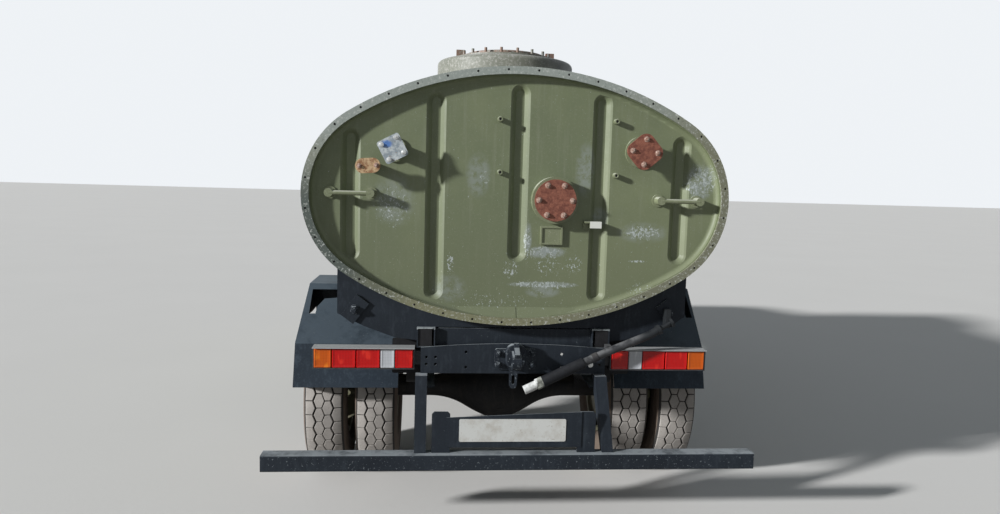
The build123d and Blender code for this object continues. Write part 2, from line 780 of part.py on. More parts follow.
# Drain pipe under the tank's right side, with its rubber sleeve and nozzle
# Columns: x, y, z of the pipe's corners, from the valve to the nozzle's end
pipe_route = [
    (-788, rear_y - 125, 1048),
    (-674, rear_y - 110, 984),
    (-448, rear_y - 100, 893),
    (-48, rear_y - 79, 709),
]
pipe_radius = 20
pipe_bend = 220
sleeve_radius = 27
sleeve_inset = 118
nozzle_radius = 22
nozzle_length = 100
nut_radius = 29
nut_length = 34
clamp_inset = 32
thin_radius = 12
thin_length = 72
thin_collar = 16
pipe_start = Vector(*pipe_route[0])
pipe_knee = Vector(*pipe_route[2])
pipe_end = Vector(*pipe_route[3])
pipe_line = (pipe_end - pipe_knee).normalized()
sleeve_start = pipe_knee + pipe_line * sleeve_inset
nozzle_start = pipe_end - pipe_line * nozzle_length
with BuildPart() as drain_pipe:
    with BuildLine() as path:
        FilletPolyline(*pipe_route[:3], tuple(sleeve_start), radius=[pipe_bend, 2 * pipe_bend])
    with BuildSketch(Plane(origin=path.line @ 0, z_dir=path.line % 0)):
        Circle(pipe_radius)
    sweep()
    thin_end = pipe_start + (path.line % 0) * thin_length
    with BuildSketch(Plane(origin=pipe_start, z_dir=path.line % 0)):
        Circle(pipe_radius + 2)
        Circle(thin_radius, mode=Mode.SUBTRACT)
    extrude(amount=thin_length, mode=Mode.SUBTRACT)
    with BuildSketch(Plane(origin=thin_end, z_dir=path.line % 0)):
        Circle(pipe_radius + 5)
    extrude(amount=thin_collar)
    with BuildSketch(Plane(origin=nozzle_start, z_dir=pipe_line)):
        Circle(nozzle_radius)
    extrude(amount=nozzle_length)
    with BuildSketch(Plane(origin=nozzle_start, z_dir=pipe_line)):
        RegularPolygon(nut_radius, 6)
    extrude(amount=nut_length)
    with BuildSketch(Plane(origin=pipe_start, z_dir=path.line % 0)):
        Circle(pipe_radius + 5)
    extrude(amount=12)
    clamp = pipe_knee - (pipe_knee - Vector(*pipe_route[1])).normalized() * clamp_inset
    block(
        (pipe_start.X + 10, pipe_start.X + 34),
        (rear_saddle_y + saddle_lug_sheet, pipe_start.Y + 8),
        (pipe_start.Z - 30, pipe_start.Z + 60),
    )
    block(
        (-beam_x - beam_width / 2, -rail_outer_x), (beam_rear_y, clamp.Y),
        (cross_beam_top_z - cross_beam_rise + 4, clamp.Z + 22),
    )
save(drain_pipe, "drain_pipe")

with BuildPart() as drain_sleeve:
    with BuildSketch(Plane(origin=sleeve_start, z_dir=pipe_line)):
        Circle(sleeve_radius)
    extrude(amount=(nozzle_start - sleeve_start).length)
save(drain_sleeve, "drain_sleeve")


# Leaf springs: arcs that shorten towards the axle
def leaf_pack(x, width, center_y, eye_z, sag, length, leaf_sheet, leaf_count):
    """A pack of leaves that lie on each other, the longest on top."""
    radius = (length**2 / 4 + sag**2) / (2 * sag)
    arc_z = eye_z - sag + radius
    for leaf in range(leaf_count):
        half = length / 2 * (1 - leaf / (leaf_count + 1))
        inner = radius + leaf * leaf_sheet
        outer = inner + leaf_sheet
        with BuildSketch(Plane.YZ.offset(x - width / 2)) as section:
            with BuildLine():
                upper = ThreePointArc(
                    (center_y - half, arc_z - sqrt(inner**2 - half**2)),
                    (center_y, arc_z - inner),
                    (center_y + half, arc_z - sqrt(inner**2 - half**2)),
                )
                lower = ThreePointArc(
                    (center_y - half, arc_z - sqrt(outer**2 - half**2)),
                    (center_y, arc_z - outer),
                    (center_y + half, arc_z - sqrt(outer**2 - half**2)),
                )
                Line(upper @ 0, lower @ 0)
                Line(upper @ 1, lower @ 1)
            make_face()
        extrude(section.sketch, amount=width)


front_spring_x = 410
front_spring_width = 60
front_spring_length = 1180
rear_spring_x = 501
rear_spring_width = 66
rear_spring_length = 1300
eye_radius = 24
front_eye_z = 655
front_sag = 130
front_leaf = 10
front_leaves = 7
rear_eye_z = 700
rear_sag = 72
rear_leaf = 9
rear_leaves = 9
front_seat_z = front_eye_z - front_sag - front_leaf * front_leaves
rear_seat_z = rear_eye_z - rear_sag - rear_leaf * rear_leaves
with BuildPart() as leaf_springs:
    leaf_pack(
        front_spring_x, front_spring_width, front_axle_y, front_eye_z, front_sag,
        front_spring_length, front_leaf, front_leaves,
    )
    leaf_pack(
        rear_spring_x, rear_spring_width, rear_axle_y, rear_eye_z, rear_sag,
        rear_spring_length, rear_leaf, rear_leaves,
    )
    for end in (-1, 1):
        eye_y = front_axle_y + end * front_spring_length / 2
        eye_x = (front_spring_x - front_spring_width / 2, front_spring_x + front_spring_width / 2)
        tube_x(eye_y, front_eye_z, eye_x, eye_radius)
        block(eye_x, (eye_y - 30, eye_y + 30), (front_eye_z, rail_bottom_z))
        eye_y = rear_axle_y + end * rear_spring_length / 2
        eye_x = (rail_outer_x, rear_spring_x + rear_spring_width / 2)
        tube_x(eye_y, rear_eye_z, eye_x, eye_radius)
        block(eye_x, (eye_y - 34, eye_y + 34), (rear_eye_z, rear_eye_z + 110))
    mirror(about=Plane.YZ)
save(leaf_springs, "leaf_springs")

# Rear axle: banjo, tapered arms, spring pads and spindles
banjo_radius = 186
banjo_half_depth = 110
banjo_flat = 77
arm_radius = 64
spindle_start_x = 620
hub_end_x = rear_wheel_x + 128
with BuildPart() as rear_axle:
    with BuildSketch(Plane(origin=(0, rear_axle_y, axle_z), x_dir=(1, 0, 0), z_dir=(0, -1, 0))):
        with BuildLine():
            crown = ThreePointArc((banjo_flat, banjo_radius - 2), (135, 158), (192, 127))
            sweep_out = ThreePointArc(crown @ 1, (286, 83), (410, arm_radius))
            Polyline(sweep_out @ 1, (spindle_start_x, arm_radius), (spindle_start_x, spindle_radius),
                     (hub_end_x - 6, spindle_radius), (hub_end_x - 6, 0), (0, 0),
                     (0, banjo_radius - 2), crown @ 0)
        make_face()
    revolve(axis=Axis((0, rear_axle_y, axle_z), (1, 0, 0)))
    mirror(about=Plane.YZ)
    with BuildSketch(Plane.XZ.offset(-rear_axle_y - 60)):
        with Locations((0, axle_z)):
            Circle(banjo_radius)
    extrude(amount=120)
    with BuildSketch(Plane.XZ.offset(-rear_axle_y - 60)):
        with Locations((0, axle_z)):
            Circle(banjo_radius - 6)
    extrude(amount=-(banjo_half_depth - 15), taper=38)
    with BuildSketch(Plane.XZ.offset(-rear_axle_y + 60)):
        with Locations((0, axle_z)):
            Circle(banjo_radius - 10)
    extrude(amount=150, taper=32)
    for side in (-1, 1):
        block(
            (side * rear_spring_x - 36, side * rear_spring_x + 36),
            (rear_axle_y - 70, rear_axle_y + 70),
            (axle_z, rear_seat_z),
        )
save(rear_axle, "rear_axle")

# Front axle: a dropped beam with an eye at each end
beam_drop_z = 405
eye_height = 98
eye_outer = 37
front_beam_depth = 64
beam_tall = 70
with BuildPart() as front_axle:
    with BuildSketch(Plane.XZ.offset(-front_axle_y - front_beam_depth / 2)):
        with BuildLine():
            Polyline(
                (0, beam_drop_z - beam_tall / 2),
                (500, beam_drop_z - beam_tall / 2),
                (610, axle_z - beam_tall / 2),
                (king_pin_x - 20, axle_z - beam_tall / 2),
                (king_pin_x - 20, axle_z + beam_tall / 2),
                (590, axle_z + beam_tall / 2),
                (480, beam_drop_z + beam_tall / 2),
                (0, beam_drop_z + beam_tall / 2),
                (0, beam_drop_z - beam_tall / 2),
            )
        make_face()
    extrude(amount=front_beam_depth)
    tube_z(king_pin_x, front_axle_y, (axle_z - eye_height / 2, axle_z + eye_height / 2), eye_outer)
    block(
        (front_spring_x - 34, front_spring_x + 34),
        (front_axle_y - 60, front_axle_y + 60),
        (beam_drop_z, front_seat_z),
    )
    tube_z(
        king_pin_x, front_axle_y, (axle_z - eye_height, axle_z + eye_height),
        king_pin_radius + running_gap, mode=Mode.SUBTRACT,
    )
    mirror(about=Plane.YZ)
save(front_axle, "front_axle")

# Steering knuckles with their king pins and arms, and the track rod
knuckle_gap = 1
fork_sheet = 40
fork_radius = 42
flange_x = king_pin_x + fork_radius
arm_z = axle_z - eye_height / 2 - fork_sheet + 12
ball_radius = 10
rod_radius = 15
rod_eye_radius = 26
rod_eye_height = 34
with BuildPart() as knuckle_left:
    for side in (-1, 1):
        near = axle_z + side * (eye_height / 2 + knuckle_gap)
        far = near + side * fork_sheet
        tube_z(king_pin_x, front_axle_y, (min(near, far), max(near, far)), fork_radius)
        block(
            (king_pin_x, flange_x), (front_axle_y - fork_radius, front_axle_y + fork_radius),
            (min(near, far), max(near, far)),
        )
    top = eye_height / 2 + knuckle_gap + fork_sheet
    tube_z(king_pin_x, front_axle_y, (axle_z - top, axle_z + top), king_pin_radius)
    block((flange_x, flange_x + 18), (front_axle_y - 55, front_axle_y + 55), (axle_z - top, axle_z + top))
    tube_x(front_axle_y, axle_z, (flange_x + 18, front_wheel_x + 140), stub_radius)
    block(
        (king_pin_x - 16, king_pin_x + 16),
        (front_axle_y, front_axle_y + steering_arm),
        (arm_z - 12, arm_z + 12),
    )
    tube_z(king_pin_x, front_axle_y + steering_arm, (arm_z - 12, arm_z + 12), 20)
    tube_z(
        king_pin_x, front_axle_y + steering_arm, (arm_z - 12 - rod_eye_height - 4, arm_z), ball_radius
    )
save(knuckle_left, "knuckle_left")
knuckle_right = mirrored(knuckle_left)
save(knuckle_right, "knuckle_right")

rod_z = arm_z - 12 - 1 - rod_eye_height / 2
with BuildPart() as track_rod:
    tube_x(front_axle_y + steering_arm, rod_z, (-king_pin_x, king_pin_x), rod_radius)
    for side in (-1, 1):
        tube_z(
            side * king_pin_x, front_axle_y + steering_arm,
            (rod_z - rod_eye_height / 2, rod_z + rod_eye_height / 2), rod_eye_radius,
        )
        tube_z(
            side * king_pin_x, front_axle_y + steering_arm,
            (rod_z - rod_eye_height, rod_z + rod_eye_height), ball_radius + running_gap,
            mode=Mode.SUBTRACT,
        )
save(track_rod, "track_rod")


# Wheels: profiles turned about the axle line
def turned(axle_y, points):
    """Turns a closed profile of x, radius points about the axle line at axle_y."""
    plane = Plane(origin=(0, axle_y, axle_z), x_dir=(1, 0, 0), z_dir=(0, -1, 0))
    with BuildSketch(plane) as section:
        Polygon(*points, align=None)
    revolve(section.sketch, axis=Axis((0, axle_y, axle_z), (1, 0, 0)))


def rim_and_disc(axle_y, center_x, dish):
    """A pressed rim and its disc, dished by disc_offset towards the dish side."""
    half = rim_width / 2
    well = bead_radius - 16
    turned(axle_y, [
        (center_x - half, rim_flange_radius),
        (center_x - half + rim_sheet, rim_flange_radius),
        (center_x - half + rim_sheet, bead_radius),
        (center_x - 62, bead_radius),
        (center_x - 50, well),
        (center_x + 50, well),
        (center_x + 62, bead_radius),
        (center_x + half - rim_sheet, bead_radius),
        (center_x + half - rim_sheet, rim_flange_radius),
        (center_x + half, rim_flange_radius),
        (center_x + half, bead_radius - rim_sheet),
        (center_x + 66, bead_radius - rim_sheet),
        (center_x + 54, well - rim_sheet),
        (center_x - 54, well - rim_sheet),
        (center_x - 66, bead_radius - rim_sheet),
        (center_x - half, bead_radius - rim_sheet),
    ])
    face = center_x + dish * disc_offset
    turned(axle_y, [
        (center_x + dish * 8, well - 3),
        (center_x + dish * 26, well - 3),
        (face, hub_flange_radius + 6),
        (face, 112),
        (face - dish * disc_sheet, 112),
        (face - dish * disc_sheet, hub_flange_radius),
        (center_x + dish * 8, well - 12),
    ])


def hand_holes(axle_y, x):
    """Round hand holes through the discs between the two values of x."""
    plane = Plane(origin=(x[0], axle_y, axle_z), x_dir=(0, 1, 0), z_dir=(1, 0, 0))
    with BuildSketch(plane) as section:
        with PolarLocations(hand_hole_ring, hand_hole_count):
            Circle(hand_hole_radius)
    extrude(section.sketch, amount=x[1] - x[0], mode=Mode.SUBTRACT)


def tyre(axle_y, center_x):
    """A plain tyre body around the rim."""
    bead_half = rim_width / 2 - rim_sheet - seat_gap
    inner = bead_radius + seat_gap
    plane = Plane(origin=(center_x, axle_y, axle_z), x_dir=(1, 0, 0), z_dir=(0, -1, 0))
    with BuildSketch(plane) as section:
        with BuildLine():
            Line((-bead_half, inner), (bead_half, inner))
            Line((bead_half, inner), (bead_half, rim_flange_radius + 2))
            ThreePointArc(
                (bead_half, rim_flange_radius + 2), (tyre_width / 2, 362),
                (tread_width / 2 + 8, tyre_radius - 24),
            )
            Line((tread_width / 2 + 8, tyre_radius - 24), (tread_width / 2, tyre_radius - 5))
            ThreePointArc(
                (tread_width / 2, tyre_radius - 5), (0, tyre_radius), (-tread_width / 2, tyre_radius - 5)
            )
            Line((-tread_width / 2, tyre_radius - 5), (-tread_width / 2 - 8, tyre_radius - 24))
            ThreePointArc(
                (-tread_width / 2 - 8, tyre_radius - 24), (-tyre_width / 2, 362),
                (-bead_half, rim_flange_radius + 2),
            )
            Line((-bead_half, rim_flange_radius + 2), (-bead_half, inner))
        make_face()
    revolve(section.sketch, axis=Axis((0, axle_y, axle_z), (1, 0, 0)))


front_face_x = front_wheel_x + disc_offset
drum_start_x = flange_x + 19
with BuildPart() as front_wheel_left:
    rim_and_disc(front_axle_y, front_wheel_x, 1)
    turned(front_axle_y, [
        (drum_start_x, stub_radius + running_gap),
        (drum_start_x, 190),
        (drum_start_x + 90, 190),
        (drum_start_x + 90, 80),
        (front_face_x - disc_sheet - 20, 80),
        (front_face_x - disc_sheet - 20, hub_flange_radius),
        (front_face_x - disc_sheet, hub_flange_radius),
        (front_face_x - disc_sheet, 90),
        (front_face_x + 20, 72),
        (front_face_x + 44, 60),
        (front_face_x + 44, 0),
        (front_wheel_x + 141, 0),
        (front_wheel_x + 141, stub_radius + running_gap),
    ])
    hand_holes(front_axle_y, (front_wheel_x, front_face_x + 10))
save(front_wheel_left, "front_wheel_left")
front_wheel_right = mirrored(front_wheel_left)
save(front_wheel_right, "front_wheel_right")

with BuildPart() as front_tyre_left:
    tyre(front_axle_y, front_wheel_x)
save(front_tyre_left, "front_tyre_left")
front_tyre_right = mirrored(front_tyre_left)
save(front_tyre_right, "front_tyre_right")

dual_x = (rear_wheel_x - dual_spacing / 2, rear_wheel_x + dual_spacing / 2)
with BuildPart() as rear_wheels_left:
    rim_and_disc(rear_axle_y, dual_x[0], 1)
    rim_and_disc(rear_axle_y, dual_x[1], -1)
    turned(rear_axle_y, [
        (spindle_start_x + 6, spindle_radius + running_gap),
        (spindle_start_x + 6, 200),
        (rear_wheel_x - 75, 200),
        (rear_wheel_x - 75, 110),
        (rear_wheel_x - disc_sheet - 20, 110),
        (rear_wheel_x - disc_sheet - 20, hub_flange_radius),
        (rear_wheel_x - disc_sheet, hub_flange_radius),
        (rear_wheel_x - disc_sheet, 111),
        (rear_wheel_x + 90, 104),
        (rear_wheel_x + 100, 84),
        (hub_end_x + 14, 78),
        (hub_end_x + 14, 0),
        (hub_end_x, 0),
        (hub_end_x, spindle_radius + running_gap),
    ])
    hand_holes(rear_axle_y, (dual_x[0], dual_x[1]))
save(rear_wheels_left, "rear_wheels_left")
rear_wheels_right = mirrored(rear_wheels_left)
save(rear_wheels_right, "rear_wheels_right")

with BuildPart() as rear_tyres_left:
    for tyre_x in dual_x:
        tyre(rear_axle_y, tyre_x)
save(rear_tyres_left, "rear_tyres_left")
rear_tyres_right = mirrored(rear_tyres_left)
save(rear_tyres_right, "rear_tyres_right")

# Engine and gearbox as one plain block, propeller shaft and exhaust
gearbox_end_y = front_y + 1750
shaft_radius = 38
shaft_front_z = 720
with BuildPart() as engine_block:
    block((-250, 250), (front_y + 330, front_y + 1150), (560, 1120))
    block((-165, 165), (front_y + 1150, gearbox_end_y), (590, 930))
    fillet(engine_block.edges().filter_by(Axis.Y), 25)
save(engine_block, "engine_block")

nose_y = rear_axle_y - 60 - 150
shaft_line = Vector(0, nose_y - gearbox_end_y, axle_z - shaft_front_z)
with BuildPart() as propeller_shaft:
    shaft_start = Vector(0, gearbox_end_y, shaft_front_z) - shaft_line.normalized() * 40
    with BuildSketch(Plane(origin=shaft_start, z_dir=shaft_line)):
        Circle(shaft_radius)
    extrude(amount=shaft_line.length + 80)
    block((-100, 100), (gearbox_end_y, nose_y), (300, 900), mode=Mode.INTERSECT)
save(propeller_shaft, "propeller_shaft")

exhaust_x = -207
exhaust_z = 610
with BuildPart() as exhaust:
    tube_y(exhaust_x, exhaust_z, (front_y + 1150, front_y + 3100), 25)
    tube_y(exhaust_x, exhaust_z, (front_y + 1950, front_y + 2550), 82)
save(exhaust, "exhaust")

# Fuel tank on the left rail
fuel_y = (front_y + 2600, front_y + 3350)
with BuildPart() as fuel_tank:
    block((rail_outer_x + 25, 900), fuel_y, (500, 880))
    fillet(fuel_tank.edges().filter_by(Axis.Y), 70)
    for strap_y in (fuel_y[0] + 150, fuel_y[1] - 150):
        block((rail_outer_x, rail_outer_x + 60), (strap_y - 25, strap_y + 25), (640, 860))
    tube_z(800, fuel_y[0] + 90, (850, 915), 42)
    tube_z(800, fuel_y[0] + 90, (900, 918), 50)
save(fuel_tank, "fuel_tank")

# Front bumper: a pressed channel with swept ends
bumper_half = 1050
with BuildPart() as front_bumper:
    with BuildSketch(Plane.XY.offset(500)):
        with BuildLine():
            front_line = Polyline(
                (-bumper_half, front_y + 180), (-bumper_half + 60, front_y + 40),
                (-bumper_half + 170, front_y), (bumper_half - 170, front_y),
                (bumper_half - 60, front_y + 40), (bumper_half, front_y + 180),
            )
            offset(front_line, amount=8, side=Side.LEFT)
        make_face()
    extrude(amount=190)
    for side in (-1, 1):
        block(
            (side * 400, side * 450), (front_y + 8, rail_front_y), (rail_bottom_z - 50, rail_bottom_z - 10)
        )
        block(
            (side * 400, side * 450),
            (rail_front_y - 12, rail_front_y),
            (rail_bottom_z - 50, rail_top_z - 60),
        )
save(front_bumper, "front_bumper")

# Wings: pressed shells, open below and over the wheel
wing_front_y = front_y + 130
wing_rear_y = door_front_y - 55
wing_bottom_z = 700
lamp_x = 800
lamp_z = 985
lamp_radius = 95
board_z = 665
board_sheet = 12
board_lip = 45
board_half = 1110
board_inner_x = 640
board_end_y = cab_rear_y + 10


def wing_outline(inset):
    """The wing's side outline as a face in the current sketch."""
    Polygon(
        (wing_front_y + 25 + inset, wing_bottom_z - inset),
        (wing_rear_y - inset, wing_bottom_z - inset),
        (wing_rear_y - inset, 1090 - inset / 2),
        (wing_rear_y - 130 - inset / 2, wing_top_z - inset),
        (wing_front_y + 90 + inset / 2, wing_top_z - inset),
        (wing_front_y + inset, wing_top_z - 90 - inset / 2),
        align=None,
    )


with BuildPart() as front_wings:
    with BuildSketch(Plane.YZ.offset(rail_outer_x - sheet_wall)):
        wing_outline(0)
    extrude(amount=wing_half - rail_outer_x + sheet_wall)
    fillet(front_wings.edges().filter_by(GeomType.LINE).group_by(Axis.X)[-1].filter_by(
        lambda edge: edge.center().Z > wing_bottom_z + 10
    ), 55)
    with BuildSketch(Plane.YZ.offset(rail_outer_x)):
        wing_outline(sheet_wall)
    extrude(amount=wing_half - rail_outer_x - sheet_wall, mode=Mode.SUBTRACT)
    block(
        (0, rail_outer_x + 100), (wing_front_y - 10, wing_rear_y + 10), (wing_bottom_z - 50, rail_top_z),
        mode=Mode.SUBTRACT,
    )
    block(
        (0, cab_half + seat_gap), (cab_front_y - seat_gap, wing_rear_y + 10),
        (cab_floor_z - swing_gap, wing_top_z + 10), mode=Mode.SUBTRACT,
    )
    tube_x(front_axle_y, axle_z, (rail_outer_x + 100, wing_half + 10), arch_radius, mode=Mode.SUBTRACT)
    tube_y(
        lamp_x, lamp_z, (wing_front_y - 10, wing_front_y + 60), lamp_radius + seat_gap, mode=Mode.SUBTRACT
    )
    # running board below the door, with a lip, a skirt up to the cab and two brackets
    block((board_inner_x, board_half), (wing_rear_y - 2, board_end_y), (board_z - board_sheet, board_z))
    block(
        (board_half - board_sheet, board_half), (wing_rear_y - 2, board_end_y),
        (board_z - board_lip, board_z),
    )
    block(
        (board_inner_x + 60, board_half), (wing_rear_y - sheet_wall, wing_rear_y),
        (board_z - board_sheet, wing_bottom_z + 2),
    )
    block(
        (cab_half - 110, cab_half - 90), (wing_rear_y - 2, board_end_y),
        (board_z - 1, cab_floor_z - swing_gap),
    )
    for bracket_y in (wing_rear_y + 200, board_end_y - 160):
        block(
            (rail_outer_x, board_half - board_sheet), (bracket_y - 20, bracket_y + 20),
            (board_z - board_sheet - 40, board_z - board_sheet),
        )
        block(
            (rail_outer_x, rail_outer_x + 12), (bracket_y - 40, bracket_y + 40),
            (board_z - board_sheet - 40, rail_bottom_z + 90),
        )
    mirror(about=Plane.YZ)
save(front_wings, "front_wings")

with BuildPart() as headlamps:
    tube_y(lamp_x, lamp_z, (wing_front_y - 4, wing_front_y + 70), lamp_radius)
    tube_y(lamp_x, lamp_z, (wing_front_y - 26, wing_front_y - 4), lamp_radius + 14)
    fillet(headlamps.edges().group_by(Axis.Y)[0], 10)
    tube_y(lamp_x, lamp_z, (wing_front_y - 28, wing_front_y - 10), lamp_radius - 6, mode=Mode.SUBTRACT)
    mirror(about=Plane.YZ)
save(headlamps, "headlamps")

# Nose panel with its grille slots
panel_y = (front_y + 165, front_y + 200)
slot_count = 7
slot_pitch = 34
with BuildPart() as nose_panel:
    block((-rail_outer_x + sheet_wall, rail_outer_x - sheet_wall), panel_y, (rail_top_z, wing_top_z))
    block((-rail_inner_x + 6, rail_inner_x - 6), panel_y, (wing_bottom_z, rail_top_z))
    with BuildSketch(Plane.XZ.offset(-panel_y[1])):
        with Locations((0, 985)):
            with GridLocations(0, slot_pitch, 1, slot_count):
                SlotOverall(700, 20)
    extrude(amount=panel_y[1] - panel_y[0], mode=Mode.SUBTRACT)
    block((-330, 330), (panel_y[1], panel_y[1] + 70), (850, 1160))
save(nose_panel, "nose_panel")


# Cab: two crossed profiles, inset for walls and glass
def cab_block(inset):
    """The cab's outer form, smaller by inset all round."""
    with BuildPart() as form:
        with BuildSketch(Plane.YZ.offset(-cab_half - 20)):
            with BuildLine():
                Polyline(
                    (cab_front_y + 390, roof_z - 75),
                    (cab_front_y + 45, belt_z + 10),
                    (cab_front_y, belt_z - 20),
                    (cab_front_y, cab_floor_z),
                    (cab_rear_y, cab_floor_z),
                    (cab_rear_y, roof_z - 120),
                    (cab_rear_y - 50, roof_z - 45),
                )
                ThreePointArc(
                    (cab_rear_y - 50, roof_z - 45),
                    ((cab_front_y + cab_rear_y) / 2 + 150, roof_z),
                    (cab_front_y + 390, roof_z - 75),
                )
            make_face()
            if inset:
                offset(amount=-inset, kind=Kind.INTERSECTION)
        extrude(amount=2 * cab_half + 40)
        with BuildSketch(Plane.XZ.offset(-cab_rear_y - 20)):
            with BuildLine():
                Polyline(
                    (820, roof_z - 62),
                    (900, roof_z - 95),
                    (925, roof_z - 150),
                    (cab_half, belt_z),
                    (cab_half, cab_floor_z),
                    (-cab_half, cab_floor_z),
                    (-cab_half, belt_z),
                    (-925, roof_z - 150),
                    (-900, roof_z - 95),
                    (-820, roof_z - 62),
                )
                ThreePointArc((-820, roof_z - 62), (0, roof_z + 1), (820, roof_z - 62))
            make_face()
            if inset:
                offset(amount=-inset, kind=Kind.INTERSECTION)
        extrude(amount=cab_rear_y - cab_front_y + 40, mode=Mode.INTERSECT)
    return form.part


def door_outline(gap, rear_gap):
    """The door's side outline, smaller than its opening by the gaps."""
    low_z = cab_floor_z + cab_wall + gap
    high_z = 2085 - gap
    front = door_front_y + gap
    rear = door_rear_y - rear_gap
    corners = Polygon(
        (front, low_z),
        (rear, low_z),
        (rear, high_z),
        (front + 345, high_z),
        (front + 40, belt_z + 25),
        (front, belt_z - 40),
        align=None,
    )
    fillet(corners.vertices(), 30)


def window_outline():
    """The door's glass, inside its frame."""
    corners = Polygon(
        (door_front_y + 90, belt_z + 20),
        (door_rear_y - 75, belt_z + 20),
        (door_rear_y - 75, 2025),
        (door_front_y + 365, 2025),
        align=None,
    )
    fillet(corners.vertices(), 25)


cab_outer = cab_block(0)
cab_inner = cab_block(cab_wall)
glass_outer = cab_block(18)
glass_inner = cab_block(24)
screen_low_z = 1590
screen_high_z = 2085
screen_half = 800
rear_window_half = 480
hinge_heights = (1120, 1440)


def screen_outline():
    """The windscreen as seen from the front."""
    corners = Polygon(
        (-screen_half, screen_low_z),
        (screen_half, screen_low_z),
        (screen_half - 50, screen_high_z),
        (-screen_half + 50, screen_high_z),
        align=None,
    )
    fillet(corners.vertices(), 60)


with BuildPart() as cab_shell:
    add(cab_outer)
    add(cab_inner, mode=Mode.SUBTRACT)
    with BuildSketch(Plane.XZ.offset(-cab_front_y - 500)):
        screen_outline()
    extrude(amount=560, mode=Mode.SUBTRACT)
    with BuildSketch(Plane.XZ.offset(-cab_rear_y - 60)):
        with Locations((0, 1850)):
            RectangleRounded(2 * rear_window_half, 360, 50)
    extrude(amount=160, mode=Mode.SUBTRACT)
    with BuildSketch(Plane.YZ.offset(-cab_half - 50)):
        door_outline(0, 0)
    extrude(amount=2 * cab_half + 100, mode=Mode.SUBTRACT)
    # seat riser and mounts on the rails
    block((-860, 860), (cab_rear_y - 660, cab_rear_y - cab_wall), (cab_floor_z + cab_wall - 1, 1245))
    for mount_y in (cab_front_y + 110, cab_rear_y - 120):
        for side in (-1, 1):
            block(
                (side * rail_inner_x, side * rail_outer_x), (mount_y - 35, mount_y + 35),
                (rail_top_z, cab_floor_z + 1),
            )
    # hinge lugs for the doors and the bonnet
    for side in (-1, 1):
        for hinge_z in hinge_heights:
            for step in (-1, 1):
                lug_z = hinge_z + step * 26
                block(
                    (side * (cab_half - 2), side * (door_hinge_x + 12)),
                    (door_front_y - 40, door_front_y - 1),
                    (lug_z - 10, lug_z + 10),
                )
                tube_z(side * door_hinge_x, door_front_y, (lug_z - 10, lug_z + 10), barrel_radius)
            tube_z(
                side * door_hinge_x, door_front_y, (hinge_z - 60, hinge_z + 60),
                hinge_radius + running_gap, mode=Mode.SUBTRACT,
            )
    for hinge_x in (-bonnet_hinge_x, bonnet_hinge_x):
        for step in (-1, 1):
            lug_x = hinge_x + step * 45
            tube_x(bonnet_rear_y, bonnet_pin_z, (lug_x - 12, lug_x + 12), barrel_radius)
            block(
                (lug_x - 12, lug_x + 12), (bonnet_rear_y, cab_front_y + 80),
                (bonnet_pin_z - 12, bonnet_pin_z + 12),
            )
        tube_x(
            bonnet_rear_y, bonnet_pin_z, (hinge_x - 60, hinge_x + 60), hinge_radius + running_gap,
            mode=Mode.SUBTRACT,
        )
save(cab_shell, "cab_shell")

with BuildPart() as cab_glass:
    with BuildSketch(Plane.XZ.offset(-cab_front_y - 500)):
        screen_outline()
    extrude(amount=560)
    with BuildSketch(Plane.XZ.offset(-cab_rear_y - 60)):
        with Locations((0, 1850)):
            RectangleRounded(2 * rear_window_half, 360, 50)
    extrude(amount=160)
    add(glass_outer, mode=Mode.INTERSECT)
    add(glass_inner, mode=Mode.SUBTRACT)
save(cab_glass, "cab_glass")

# Doors: cut from the same wall, with hinge barrels and pins
door_gap = swing_gap
door_rear_gap = 12
handle_door_z = 1395
with BuildPart() as door_left:
    with BuildSketch(Plane.YZ.offset(cab_half / 2)):
        door_outline(door_gap, door_rear_gap)
    extrude(amount=cab_half)
    add(cab_outer, mode=Mode.INTERSECT)
    add(cab_inner, mode=Mode.SUBTRACT)
    with BuildSketch(Plane.YZ.offset(cab_half / 2)):
        window_outline()
    extrude(amount=cab_half, mode=Mode.SUBTRACT)
    for hinge_z in hinge_heights:
        tube_z(door_hinge_x, door_front_y, (hinge_z - 15, hinge_z + 15), barrel_radius)
        tube_z(door_hinge_x, door_front_y, (hinge_z - 34, hinge_z + 34), hinge_radius)
        block(
            (cab_half - 3, cab_half + 8), (door_front_y + 9, door_front_y + 75), (hinge_z - 15, hinge_z + 15)
        )
        block(
            (cab_half + 1, door_hinge_x), (door_front_y + 4, door_front_y + 14), (hinge_z - 15, hinge_z + 15)
        )
    # pull handle
    for foot_y in (door_rear_y - 190, door_rear_y - 85):
        block(
            (cab_half - 2, cab_half + 34), (foot_y - 7, foot_y + 7),
            (handle_door_z - 9, handle_door_z + 9),
        )
    block(
        (cab_half + 22, cab_half + 34), (door_rear_y - 197, door_rear_y - 78),
        (handle_door_z - 9, handle_door_z + 9),
    )
save(door_left, "door_left")
door_right = mirrored(door_left)
save(door_right, "door_right")

with BuildPart() as door_glass_left:
    with BuildSketch(Plane.YZ.offset(cab_half / 2)):
        window_outline()
    extrude(amount=cab_half)
    add(glass_outer, mode=Mode.INTERSECT)
    add(glass_inner, mode=Mode.SUBTRACT)
save(door_glass_left, "door_glass_left")
door_glass_right = mirrored(door_glass_left)
save(door_glass_right, "door_glass_right")


